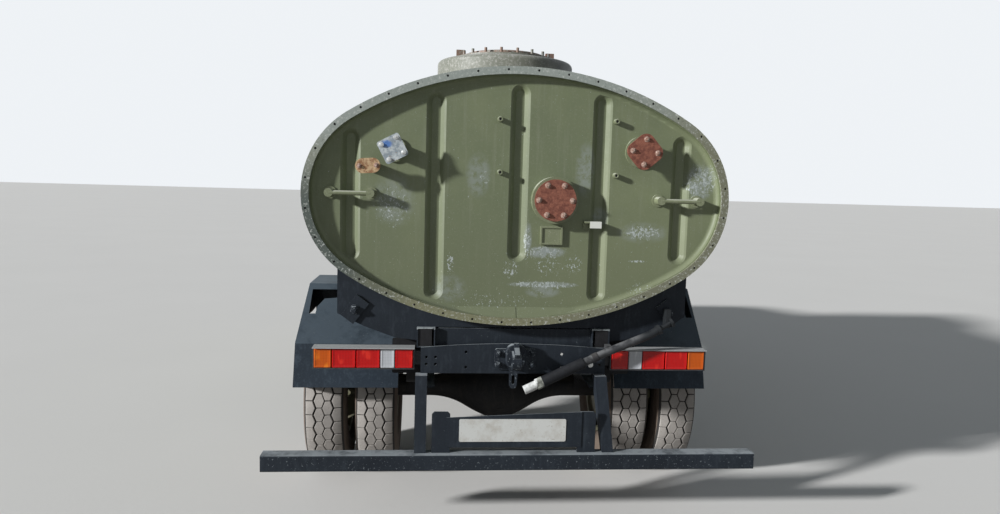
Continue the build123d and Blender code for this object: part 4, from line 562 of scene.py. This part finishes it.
# A paler copy of the mudguards' paint, for the painted highlight along their edges
LIP_HIGHLIGHT_TONES = ((0.060, 0.080, 0.100), (0.09, 0.12, 0.15), (0.15, 0.18, 0.21), (0.26, 0.29, 0.31))
LIP_HIGHLIGHT = chipped("lip_highlight_paint", LIP_HIGHLIGHT_TONES, 0.56)
TREAD = tyre_rubber("tread_rubber", (0.375, 0.350, 0.325), (0.20, 0.18, 0.165))
HOLLOW = tyre_rubber("groove_rubber", (0.022, 0.020, 0.018), (0.012, 0.011, 0.010))
WALL = tyre_rubber("sidewall_rubber", (0.13, 0.10, 0.08), (0.075, 0.058, 0.045), 0.35)
AMBER = lens_plastic("amber_lens", (0.56, 0.095, 0.004), (0.75, 0.20, 0.012))
RED = lens_plastic("red_lens", (0.52, 0.004, 0.004), (0.75, 0.035, 0.018))
CLEAR = lens_plastic("clear_lens", (0.50, 0.52, 0.55), (0.80, 0.82, 0.84))
ENGINE = rust("engine_grey", (0.10, 0.10, 0.10), (0.17, 0.165, 0.155), 14)
SEAT = vinyl("seat_vinyl", (0.14, 0.085, 0.045))
BLANK = plain_plate()
VOID = rubber("hole_shadow", (0.006, 0.006, 0.007), (0.010, 0.010, 0.011), 0.5)
HOUSING = housing_plastic()
MIRROR = mirror_face()

dress(TANK, "tank_shell", "tank_rear_head")
dress(FITTING, "head_fittings")
dress(DOME, "filler_dome", "hatch_lid")
dress(CHASSIS, "frame_rails", "frame_cross_members", "rear_cross_beam", "underrun_posts", "tank_saddles",
      "front_bumper", "plate_bracket")
dress(HOOK, "tow_hook")
dress(BAR, "underrun_bar")
dress(TUBE, "tank_beams")
dress(GUARD, "rear_mudguards")
dress(UNDER, "rear_axle", "front_axle", "knuckle_left", "knuckle_right", "track_rod", "leaf_springs",
      "propeller_shaft", "fuel_tank")
dress(CAB, "cab_shell", "bonnet", "front_wings", "nose_panel", "door_left", "door_right")
dress(GLASS, "cab_glass", "door_glass_left", "door_glass_right")
dress(WHEEL, "front_wheel_left", "front_wheel_right", "rear_wheels_left", "rear_wheels_right")
dress(RUST_DARK, "exhaust")
dress(ENGINE, "engine_block")
dress(HOUSING, "lamp_housings")
dress(BLACK, "dashboard", "mirrors", "headlamps")
dress(PIPE, "drain_pipe")
dress(HOSE, "drain_sleeve")
dress(BLANK, "number_plate")
dress(COVER, "head_covers")
dress(SEAT, "seats")
dress(RED, "lamp_lenses")


# Mesh helpers for the added pieces
def linked(name, bm):
    """An object made of a bmesh, with its faces turned outward."""
    bmesh.ops.recalc_face_normals(bm, faces=bm.faces)
    mesh = bpy.data.meshes.new(name)
    bm.to_mesh(mesh)
    bm.free()
    made = bpy.data.objects.new(name, mesh)
    bpy.context.scene.collection.objects.link(made)
    return made


def add_piece(name, bm, materials, body, stands_for=(), sharp=35):
    """Turn a bmesh into a smooth-shaded piece that rides on a body."""
    piece = linked(name, bm)
    piece.data.shade_smooth()
    piece.data.set_sharp_from_angle(angle=math.radians(sharp))
    for material in materials:
        piece.data.materials.append(material)
    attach(piece, body)
    if stands_for:
        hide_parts(*stands_for)


def skin(bm, loops, material=0, caps=(False, False)):
    """Join equal closed loops of points, one after another."""
    made = [[bm.verts.new(point) for point in loop] for loop in loops]
    count = len(loops[0])
    for low, high in zip(made, made[1:]):
        for i in range(count):
            j = (i + 1) % count
            bm.faces.new((low[i], low[j], high[j], high[i])).material_index = material
    for wanted, loop in zip(caps, (made[0], made[-1])):
        if wanted:
            bm.faces.new(loop).material_index = material
    return made


def circle(radius, count, height=0.0):
    turns = [math.tau * i / count for i in range(count)]
    return [Vector((radius * math.cos(turn), radius * math.sin(turn), height)) for turn in turns]


def lathe(bm, profile, place, steps, material=0, capped=False):
    """Turn (height, radius) pairs about a placing matrix's Z, the last one capped if asked."""
    loops = [[place @ point for point in circle(radius, steps, height)] for height, radius in profile]
    skin(bm, loops, material, (False, capped))


def outward(origin, direction, spin=0.0):
    """A placing matrix whose local Z points along a direction."""
    turn = Vector(direction).to_track_quat("Z", "Y").to_matrix().to_4x4()
    return Matrix.Translation(Vector(origin)) @ turn @ Matrix.Rotation(math.radians(spin), 4, "Z")


def bolt(bm, place, across, tall, material=0, stud=True):
    """A washer, a chamfered hexagon and the stud's end, or a plain head."""
    # Columns: sides, whether it is capped, (share of the height, share of the size across) pairs
    parts = [(16, False, [(0, 0.72), (0.16, 0.72), (0.2, 0.66), (0.2, 0.5)]),
             (6, False, [(0.2, 0.56), (0.86, 0.56), (1, 0.47), (1, 0.3)]),
             (10, True, [(0.9, 0.27), (1.32, 0.27), (1.4, 0.22)]) if stud else
             (6, True, [(1, 0.3), (1, 0.02)])]
    for sides, capped, profile in parts:
        lathe(bm, [(tall * up, across * out) for up, out in profile], place, sides, material, capped)


def untwisted(loop, middle, first):
    """A ring of points that starts at the one furthest in a direction."""
    shift = max(range(len(loop)), key=lambda k: (loop[k] - middle).dot(first))
    return loop[shift:] + loop[:shift]


def tube(bm, points, radius, sides, material=0, closed=False):
    """A round bar along a list of points."""
    points = [Vector(p) for p in points]
    count = len(points)
    loops = []
    for i, here in enumerate(points):
        before = points[i - 1] if closed or i else points[0]
        after = points[(i + 1) % count] if closed or i < count - 1 else points[-1]
        place = outward(here, (after - before).normalized())
        loop = [place @ p for p in circle(radius, sides)]
        if loops:
            loop = untwisted(loop, here, loops[-1][0] - points[i - 1])
        loops.append(loop)
    if closed:
        loops.append(untwisted(loops[0], points[0], loops[-1][0] - points[-1]))
    skin(bm, loops, material, (not closed, not closed))


def panel(bm, wide, tall, radius, middle, layers, material=0, steps=4):
    """A plate with rounded corners that faces back, stacked from (height, inset) pairs."""
    place = outward(middle, REARWARD)
    outline = []
    for k, (sx, sz) in enumerate(((1, 1), (-1, 1), (-1, -1), (1, -1))):
        for i in range(steps + 1):
            angle = math.pi / 2 * (k + i / steps)
            outline.append((sx * (wide / 2 - radius) + radius * math.cos(angle),
                            sz * (tall / 2 - radius) + radius * math.sin(angle)))
    far_x, far_y = max(x for x, _ in outline), max(y for _, y in outline)
    loops = [[place @ Vector((x * (1 - inset / far_x), y * (1 - inset / far_y), height))
              for x, y in outline] for height, inset in layers]
    skin(bm, loops, material, (True, True))


# Tyres with their tread blocks
BLOCKS = 38
PITCH = math.tau / BLOCKS
PITCH_LENGTH = 0.079  # one pitch round the tyre
GROOVE = 0.0031  # half the gap between blocks
BLOCK = 0.0317  # half a row's reach
# Columns: row centre, share of a pitch that the row is turned
TREAD_ROWS = [(-0.0709, 0.0), (-0.0236, 0.5), (0.0236, 0.0), (0.0709, 0.5)]


def crown(x):
    """The tread's radius at a distance from the tyre's middle."""
    return AXLE_Z - 0.005 * (x / 0.094) ** 2


def mirrored(profile):
    """The other half of a wheel's profile."""
    return [(-x, r) for x, r in reversed(profile)]


def treaded_tyre(bm, center_x, axle_y):
    """Sidewalls, groove floor and lining of a tyre, and four rows of blocks."""
    def spot(x, radius, turn):
        return Vector((center_x + x, axle_y + radius * math.sin(turn), AXLE_Z + radius * math.cos(turn)))

    place = Matrix.Translation((center_x, axle_y, AXLE_Z)) @ Matrix.Rotation(math.pi / 2, 4, "Y")
    # Columns: distance from the middle, radius
    wall = [(0.0887, 0.2545), (0.0887, 0.277), (0.098, 0.286), (0.1075, 0.304), (0.1095, 0.3065),
            (0.1110, 0.312), (0.1152, 0.334), (0.1178, 0.362), (0.1170, 0.388), (0.1180, 0.3905),
            (0.1174, 0.3955), (0.1143, 0.413), (0.1110, 0.428), (0.1118, 0.431), (0.1098, 0.4345),
            (0.1040, 0.450)]
    floor = [wall[-1], (0.0985, 0.461), (0.0945, 0.4635), (0.060, 0.466), (0.020, 0.4675)]
    lathe(bm, wall, place, 96, 2)
    lathe(bm, floor + mirrored(floor), place, 96, 1)
    lathe(bm, mirrored(wall), place, 96, 2)
    lathe(bm, mirrored(wall[:1]) + wall[:1], place, 96, 2)
    for row, shift in TREAD_ROWS:
        inner = abs(row) < 0.05
        out = math.copysign(1, row)
        # Corners of a block: shares of its half reach and of its pitch
        if inner:
            outline = [(-1, 0), (-0.5, -0.5), (0.5, -0.5), (1, 0), (0.5, 0.5), (-0.5, 0.5)]
        else:
            outline = [(-out, 0), (-out * 0.5, -0.5), (out * 0.745, -0.5), (out * 0.745, 0.5),
                       (-out * 0.5, 0.5)]
        for k in range(BLOCKS):
            angle = PITCH * (k + shift)
            loops = []
            for depth, inset in ((0.012, -0.0006), (0.0011, 0.0), (0.0, 0.0014)):
                gap = GROOVE + inset
                loop = []
                for u, v in outline:
                    x = row + u * (BLOCK - 1.12 * gap)
                    if (u * row > 0) == inner and abs(u) > 0.3:
                        x -= math.copysign(0.0021, u)
                    radius = crown(x) - depth
                    if abs(x) > 0.09:  # the shoulder bends down and out
                        radius -= 0.004 if depth < 0.01 else 0.011
                        x += math.copysign(0.0085 if depth > 0.01 else 0.001, x)
                    loop.append(spot(x, radius, angle + PITCH * v * (1 - 2 * gap / PITCH_LENGTH)))
                loops.append(loop)
            rim = skin(bm, loops)[-1]
            top = bm.verts.new(spot(row, crown(row), angle))
            for one, other in zip(rim, rim[1:] + rim[:1]):
                bm.faces.new((one, other, top))


def all_tyres():
    """A single tyre on each front wheel and twins on each rear one."""
    for kind, centers in (("front_tyre", (0.815,)), ("rear_tyres", (0.707, 0.983))):
        for word, sign in HANDS:
            node = f"{kind}_{word}"
            bm = bmesh.new()
            for center in centers:
                treaded_tyre(bm, sign * center, AXLES[kind.split("_")[0]])
            add_piece(f"treaded_{node}", bm, [TREAD, HOLLOW, WALL], HOME[node], (node,), 28)


def wheel_nuts():
    """Eight nuts round each ring of a wheel's disc."""
    # Columns: disc face x, ring radius, size across, height
    rings = {"front_wheel": [(0.953, 0.140, 0.036, 0.026)],
             "rear_wheels": [(0.855, 0.140, 0.036, 0.026), (0.987, 0.060, 0.019, 0.011)]}
    for kind, table in rings.items():
        axle = kind.split("_")[0]
        for word, sign in HANDS:
            bm = bmesh.new()
            for face, ring, across, tall in table:
                for k in range(8):
                    angle = math.tau * (k + 0.5) / 8
                    spot = (sign * face, AXLES[axle] + ring * math.cos(angle),
                            AXLE_Z + ring * math.sin(angle))
                    bolt(bm, outward(spot, (sign, 0, 0), 20 * k), across, tall)
            add_piece(f"{axle}_nuts_{word}", bm, [DULL], HOME[f"{kind}_{word}"])


# Fasteners, beads and rims on the tank and frame
def cover_bolts():
    """Bolts on the head's four covers, and the open ends of its studs with painted shade in them."""
    # Columns: x, z, y, ring radius, count, size across, height, first angle, material
    rings = [
        (0.604, 1.860, 2.760, 0.038 * math.sqrt(2), 4, 0.016, 0.009, 17, 0),
        (0.716, 1.779, 2.758, 0.039, 2, 0.016, 0.008, 176, 1),
        (-0.169, 1.640, 2.726, 0.081, 6, 0.020, 0.011, 0, 1),
        (-0.588, 1.882, 2.746, 0.060, 4, 0.019, 0.010, 4, 1),
    ]
    bm = bmesh.new()
    for x, z, y, radius, count, across, tall, first, material in rings:
        for k in range(count):
            angle = math.radians(first) + math.tau * k / count
            spot = (x + radius * math.cos(angle), y, z + radius * math.sin(angle))
            bolt(bm, outward(spot, REARWARD, 35 * k), across, tall, material)
    add_piece("cover_bolts", bm, [STEEL, RUST_TAN], "truck")
    ends = bmesh.new()
    ring = [(0, 0.0128), (0.0030, 0.0128), (0.0045, 0.0112), (0.0045, 0.0070), (0.0008, 0.0062)]
    for x, z in ((0.103, 2.017), (0.098, 1.766), (-0.460, 2.024), (-0.466, 1.766)):
        place = outward((x, 2.6895, z), REARWARD)
        lathe(ends, ring, place, 20)
        # A dark disc in each open end: painted shade
        lathe(ends, [(0.0008, 0.0062), (0.0007, 0.0010)], place, 20, 1, True)
    add_piece("stud_ends", ends, [FITTING, BLACK], "truck")


def frame_bolts():
    """Bolts on the saddles, round the tow hook and on the rear axle's banjo cover."""
    bm = bmesh.new()
    for side in SIDES:
        bolt(bm, outward((side * 0.783, 2.622, 1.084), REARWARD, 12), 0.034, 0.018)
    for dx in SIDES:
        for dz in SIDES:
            bolt(bm, outward((-0.006 + dx * 0.084, 2.657, 0.850 + dz * 0.027), REARWARD), 0.024, 0.014)
    for k in range(12):
        angle = math.tau * (k + 0.5) / 12
        spot = (0.174 * math.cos(angle), AXLES["rear"] + 0.062, AXLE_Z + 0.174 * math.sin(angle))
        bolt(bm, outward(spot, REARWARD, 15 * k), 0.020, 0.014, 0, False)
    add_piece("frame_bolts", bm, [HOOK], "truck")


def oval_arcs(inset):
    """The tank's oval, set in: the side arcs' distance and radius, the long arcs' drop and radius,
    and the angle where they meet."""
    wide, tall, side = (size - inset for size in TANK_OVAL)
    top = (wide ** 2 - 2 * wide * side + tall ** 2) / (2 * (tall - side))
    return wide - side, side, top - tall, top, math.atan2(top - tall, wide - side)


def oval_line(inset, count):
    """Points round the tank's oval, evenly turned."""
    reach, side, drop, top, turn = oval_arcs(inset)
    for k in range(count):
        angle = math.tau * k / count
        c, s = math.cos(angle), math.sin(angle)
        if math.atan2(abs(s), abs(c)) < turn:
            yield math.copysign(reach, c) + side * c, side * s
        else:
            yield top * c, top * s - math.copysign(drop, s)


def hole_points(inset, count):
    """The rim's holes in one quarter, evenly spaced, from the tank's axis."""
    reach, side, drop, top, turn = oval_arcs(inset)
    step = (side * turn + top * (math.pi / 2 - turn)) / count
    for k in range(count):
        along = (k + 0.5) * step
        if along < side * turn:
            angle = along / side
            yield reach + side * math.cos(angle), side * math.sin(angle)
        else:
            angle = turn + (along - side * turn) / top
            yield top * math.cos(angle), top * math.sin(angle) - drop


def rim_details():
    """The rim's rolled lips and the dark in its holes."""
    lips = bmesh.new()
    for inset in (0.0023, 0.0345):
        line = [(x, 2.7028, TANK_Z + z) for x, z in oval_line(inset, 160)]
        tube(lips, line, 0.0021, 6, closed=True)
    add_piece("rim_lips", lips, [TANK], "truck", sharp=60)
    dark = bmesh.new()
    for x, z in hole_points(0.015, 9):
        for sx in SIDES:
            for sz in SIDES:
                place = outward((sx * x, 2.7016, TANK_Z + sz * z), REARWARD)
                lathe(dark, [(-0.002, 0.0054), (0, 0.0054), (0.0001, 0.0005)], place, 10, 0, True)
    add_piece("rim_hole_shadows", dark, [VOID], "truck")


def weld_beads():
    """Weld beads round the tank where its plates meet."""
    bm = bmesh.new()
    for y in (0.60, 1.30, 2.05):
        line = [(x, y + 0.0008 * math.sin(9 * k), TANK_Z + z)
                for k, (x, z) in enumerate(oval_line(0.030, 200))]
        tube(bm, line, 0.0045, 6, closed=True)
    add_piece("weld_beads", bm, [TANK], "truck", sharp=60)


def pipe_clamp():
    """A strap round the drain pipe where it crosses the beam, and a bright bolt under it."""
    bm = bmesh.new()
    along = Vector((400, 21, -184)).normalized()
    middle = Vector((-0.048, 2.711, 0.709)) - along * 0.385
    place = outward(middle, along)
    lathe(bm, [(-0.013, 0.0203), (-0.013, 0.0232), (0.013, 0.0232), (0.013, 0.0203)], place, 28)
    lathe(bm, [(-0.016, 0.0203), (-0.016, 0.0215), (-0.013, 0.0215)], place, 28)
    bolt(bm, outward((-0.3875, 2.645, 0.8205), REARWARD, 20), 0.018, 0.012, 1)
    add_piece("pipe_clamp", bm, [BLACK, STEEL], HOME["drain_pipe"])


# Each rear mudguard's outer edge, seen from behind: x, z
GUARD_EDGES = {1: [(1.121, 0.600), (1.128, 0.845), (1.100, 1.130)],
               -1: [(1.076, 0.600), (1.091, 0.849), (1.102, 1.130)]}
# Their top line, seen from the side: y from the axle, z
GUARD_LINE = [(0.596, 0.632), (0.497, 0.834), (0.184, 1.1105),
              (-0.184, 1.1105), (-0.497, 0.834), (-0.596, 0.632)]


def guard_edge(side, z):
    """The x of a rear mudguard's outer edge at a height."""
    xs, zs = zip(*GUARD_EDGES[side])
    return side * float(np.interp(z, zs, xs))


def guard_samples(steps):
    """Even points on each straight part of the mudguards' line, but for its last point."""
    return [(y0 + (y1 - y0) * t / steps, z0 + (z1 - z0) * t / steps)
            for (y0, z0), (y1, z1) in zip(GUARD_LINE, GUARD_LINE[1:]) for t in range(steps)]


def guard_valances():
    """A side sheet that hangs from each rear mudguard's outer edge."""
    bm = bmesh.new()
    # Columns: side, the sheet's depth towards the axle, the nearest that it comes to it
    for side, depth, least in ((1, 0.185, 0.43), (-1, 0.140, 0.497)):
        loops = []
        for y, z in guard_samples(8) + GUARD_LINE[-1:]:
            reach = math.hypot(y, z - AXLE_Z)
            share = max(reach - depth, least) / reach
            low_z = AXLE_Z + (z - AXLE_Z) * share
            high = (guard_edge(side, z), AXLES["rear"] + y, z)
            low = (guard_edge(side, low_z), AXLES["rear"] + y * share, low_z)
            loops.append([Vector((x - side * lift, py, pz)) for (x, py, pz), lift in
                          ((high, 0.004), (low, 0.004), (low, 0.007), (high, 0.007))])
        skin(bm, loops, 0, (True, True))
    add_piece("guard_valances", bm, [GUARD], HOME["rear_mudguards"], sharp=20)


def guard_highlight_lips():
    """The rolled outer edge and foot of each rear mudguard, in a paler copy of the guard's paint that
    paints a highlight along them.
    """
    bm = bmesh.new()
    for side in SIDES:
        line = [(guard_edge(side, z) - side * 0.004, AXLES["rear"] + y, z) for y, z in guard_samples(6)]
        tube(bm, line, 0.0034, 6)
        reach = abs(guard_edge(side, 0.632)) - 0.592
        foot = [(side * (0.586 + reach * t / 8), AXLES["rear"] + 0.597, 0.6305) for t in range(9)]
        tube(bm, foot, 0.0030, 6)
    add_piece("guard_highlight_lips", bm, [LIP_HIGHLIGHT], HOME["rear_mudguards"], sharp=60)


def lamp_brackets():
    """A dark plate behind each lamp cluster's inner end, and a plate ahead of the cross beam that puts
    painted shade behind its holes.
    """
    sheet = [(0, 0), (0.004, 0)]
    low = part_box("lamp_housings")[0]
    bm = bmesh.new()
    for side in SIDES:
        panel(bm, 0.150, 0.179, 0.008, (side * 0.528, low[1] - 0.006, 0.843), sheet, steps=2)
    add_piece("lamp_brackets", bm, [VOID], HOME["lamp_housings"])
    # A plate between the rails that stands in for the shade seen through the cross beam's holes
    bm = bmesh.new()
    panel(bm, 0.345, 0.120, 0.004, (0.2225, 2.550, 0.840), sheet, steps=2)
    add_piece("beam_hole_shade_plate", bm, [CHASSIS], "truck")


def tube_ends():
    """Dark plates inside the open rear ends of the tank beams, painting the shade inside them."""
    low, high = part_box("tank_beams")
    bm = bmesh.new()
    for side in SIDES:
        middle = (side * (high[0] - 0.04), high[1] - 0.006, (low[2] + high[2]) / 2)
        panel(bm, 0.068, high[2] - low[2] - 0.012, 0.004, middle, [(0, 0), (0.001, 0)], steps=2)
    # Painted shade in the beams' open ends
    add_piece("tube_end_shade_plates", bm, [VOID], HOME["tank_beams"])


# Rear lamps, headlamps and mirrors
def rear_lenses():
    """Ribbed lenses with a raised edge, in the clusters' colours, each held by two screws."""
    low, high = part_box("lamp_lenses")
    z, tall, depth = (low[2] + high[2]) / 2, high[2] - low[2], high[1] - low[1]
    layers = [(0, 0), (depth * 0.72, 0.0004), (depth * 0.92, 0.002), (depth, 0.005),
              (depth - 0.001, 0.0075), (depth - 0.001, 0.02)]
    bm, screws = bmesh.new(), bmesh.new()
    for side in SIDES:
        x = 0.979
        # Columns: width of a lens from the outside in, material
        for wide, shade in ((0.087, 0), (0.118, 1), (0.117, 1), (0.072, 2), (0.089, 1)):
            middle = x - wide / 2
            panel(bm, wide - 0.0018, tall, 0.004, (side * middle, low[1], z), layers, shade)
            for dz in SIDES:
                spot = (side * (middle + 0.002), high[1] - 0.0045, z + dz * (tall / 2 - 0.009))
                lathe(screws, [(0, 0.0032), (0.0022, 0.0032), (0.0032, 0.0018)], outward(spot, REARWARD),
                      12, 0, True)
            x -= wide
    add_piece("rear_lenses", bm, [AMBER, RED, CLEAR], "truck", ("lamp_lenses",), 40)
    add_piece("lens_screws", screws, [UNDER], "truck")


def headlamp_glass():
    """A bright reflector and a ribbed, domed glass in each headlamp."""
    reflector = [(0.0002, 0.0886), (0.004, 0.084), (0.002, 0.06), (0.001, 0.03), (0.0008, 0.004)]
    glass = [(0.0045, 0.0884), (0.0075, 0.0875), (0.0105, 0.070), (0.0135, 0.036), (0.0142, 0.004)]
    ribbed = 0.080  # radius that the ribs reach
    for word, side in HANDS:
        place = outward((side * 0.8, -2.6705, 0.985), (0, -1, 0))
        bm = bmesh.new()
        lathe(bm, reflector, place, 48, 1, True)
        lathe(bm, glass, place, 48, 0, True)
        for k in range(-7, 8):
            x = k * 0.0106
            half = math.sqrt(ribbed ** 2 - x * x)
            line = []
            for t in range(-6, 7):
                y = t * half / 6
                line.append(place @ Vector((x, y, 0.0112 + 0.003 * (1 - (x * x + y * y) / ribbed ** 2))))
            tube(bm, line, 0.0011, 5)
        add_piece(f"headlamp_glass_{word}", bm, [LAMP, STEEL], HOME["headlamps"])


def mirror_glass():
    """A thin mirror with a bevelled edge on each housing."""
    bm = bmesh.new()
    for side in SIDES:
        panel(bm, 0.104, 0.204, 0.014, (side * 1.11, -1.373, 1.75),
              [(0, 0), (0.0015, 0), (0.0025, 0.0015)])
    add_piece("mirror_glass", bm, [MIRROR], HOME["mirrors"])


# Cab trim and the bench seat
SCREEN_OUT = (0, -0.874, 0.486)  # straight out of the windscreen


def gasket(bm, corners, radius, bend):
    """A rubber strip round a window with rounded corners."""
    corners = [Vector(c) for c in corners]
    points = []
    for i, here in enumerate(corners):
        back = (corners[i - 1] - here).normalized()
        ahead = (corners[(i + 1) % len(corners)] - here).normalized()
        for k in range(7):
            t = k / 6
            points.append(here + back * bend * (1 - t) ** 2 + ahead * bend * t ** 2)
    tube(bm, points, radius, 8, closed=True)


def screen_point(x, z, lift=0.0):
    """A point on the windscreen's slope, lifted off it."""
    t = (z - 1.530) / 0.620
    return Vector((x, -1.415 + 0.345 * t + SCREEN_OUT[1] * lift, z + SCREEN_OUT[2] * lift))


def cab_trim():
    """Gaskets round the windscreen and the rear window, and two wipers."""
    bm = bmesh.new()
    screen = [(-0.8, 1.59), (0.8, 1.59), (0.8, 2.085), (-0.8, 2.085)]
    gasket(bm, [screen_point(x, z, 0.002) for x, z in screen], 0.011, 0.07)
    rear = [(-0.48, 1.61), (0.48, 1.61), (0.48, 1.93), (-0.48, 1.93)]
    gasket(bm, [(x, -0.349, z) for x, z in rear], 0.010, 0.05)
    for x in (0.42, -0.34):
        foot = screen_point(x, 1.562)
        lathe(bm, [(0, 0.02), (0.02, 0.018), (0.034, 0.012)], outward(foot, SCREEN_OUT), 16, 1, True)
        knee = screen_point(x - 0.05, 1.585, 0.045)
        tip = screen_point(x - 0.30, 1.70, 0.032)
        tube(bm, [foot + Vector(SCREEN_OUT) * 0.03, knee, tip], 0.0055, 8, 1)
        tube(bm, [screen_point(x - 0.52, 1.675, 0.016), screen_point(x - 0.30, 1.70, 0.026),
                  screen_point(x - 0.06, 1.725, 0.016)], 0.0065, 6)
    add_piece("cab_trim", bm, [HOSE, BLACK], "truck", sharp=40)


def bake(obj):
    """Apply every modifier of an object to its mesh."""
    graph = bpy.context.evaluated_depsgraph_get()
    mesh = bpy.data.meshes.new_from_object(obj.evaluated_get(graph))
    obj.modifiers.clear()
    obj.data = mesh


def points_of(mesh):
    co = np.empty(len(mesh.vertices) * 3)
    mesh.vertices.foreach_get("co", co)
    return co.reshape(-1, 3)


def pad_blank(name, half):
    """A box with well-rounded edges in small, even faces."""
    bm = bmesh.new()
    bmesh.ops.create_cube(bm, size=2)
    bmesh.ops.bevel(bm, geom=list(bm.edges), offset=0.3, offset_type="OFFSET", segments=4, profile=0.6,
                    affect="EDGES", clamp_overlap=True)
    for vert in bm.verts:
        x, y, z = vert.co
        vert.co = Vector((x * half[0], y * half[1], z * half[2]))
    pad = linked(name, bm)
    bpy.context.view_layer.objects.active = pad
    remesh = pad.modifiers.new("remesh", "REMESH")
    remesh.mode, remesh.voxel_size = "VOXEL", 0.011
    bake(pad)
    return pad


def blown_up(pad, pressure=4, frames=12, furthest=0.014):
    """A pad's points once it is blown up as cloth, each moved no further than a limit."""
    start = points_of(pad.data)
    cloth = pad.modifiers.new("cloth", "CLOTH")
    cloth.settings.use_pressure = True
    cloth.settings.uniform_pressure_force = pressure
    cloth.settings.effector_weights.gravity = 0
    for moment in range(1, frames + 1):
        bpy.context.scene.frame_set(moment)
    bake(pad)
    bpy.context.scene.frame_set(1)
    move = points_of(pad.data) - start
    size = np.linalg.norm(move, axis=1, keepdims=True)
    return start + move * np.minimum(1, furthest / np.maximum(size, 1e-9))


def bench_seat(channels=7, seam_deep=0.010, seam_wide=0.012):
    """Bench and backrest: two pads blown up a little, with sewn channels across the face."""
    # Columns: name, half sizes, centre, lean, the axis and the way that the face looks
    table = [
        ("seat_cushion", (0.805, 0.235, 0.058), (0, -0.740, 1.322), 0, 2, 1),
        ("seat_back", (0.805, 0.062, 0.232), (0, -0.475, 1.634), -8, 1, -1),
    ]
    for name, half, center, lean, face, sign in table:
        pad = pad_blank(name, half)
        co = blown_up(pad)
        pitch = 2 * half[0] / channels
        seam = np.abs((co[:, 0] / pitch + 0.5 + channels / 2) % 1 - 0.5) * pitch
        outer = np.clip((sign * co[:, face] / half[face] - 0.2) / 0.5, 0, 1)
        co[:, face] -= sign * outer * seam_deep * np.exp(-(seam / seam_wide) ** 2)
        turn = np.array(Matrix.Rotation(math.radians(lean), 3, "X"))
        pad.data.vertices.foreach_set("co", (co @ turn.T + np.array(center)).ravel())
        pad.data.update()
        pad.data.shade_smooth()
        pad.data.materials.append(SEAT)
        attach(pad, HOME["seats"])
    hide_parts("seats")


all_tyres()
wheel_nuts()
cover_bolts()
frame_bolts()
rim_details()
pipe_clamp()
guard_valances()
guard_highlight_lips()
lamp_brackets()
tube_ends()
weld_beads()
rear_lenses()
headlamp_glass()
mirror_glass()
cab_trim()
bench_seat()
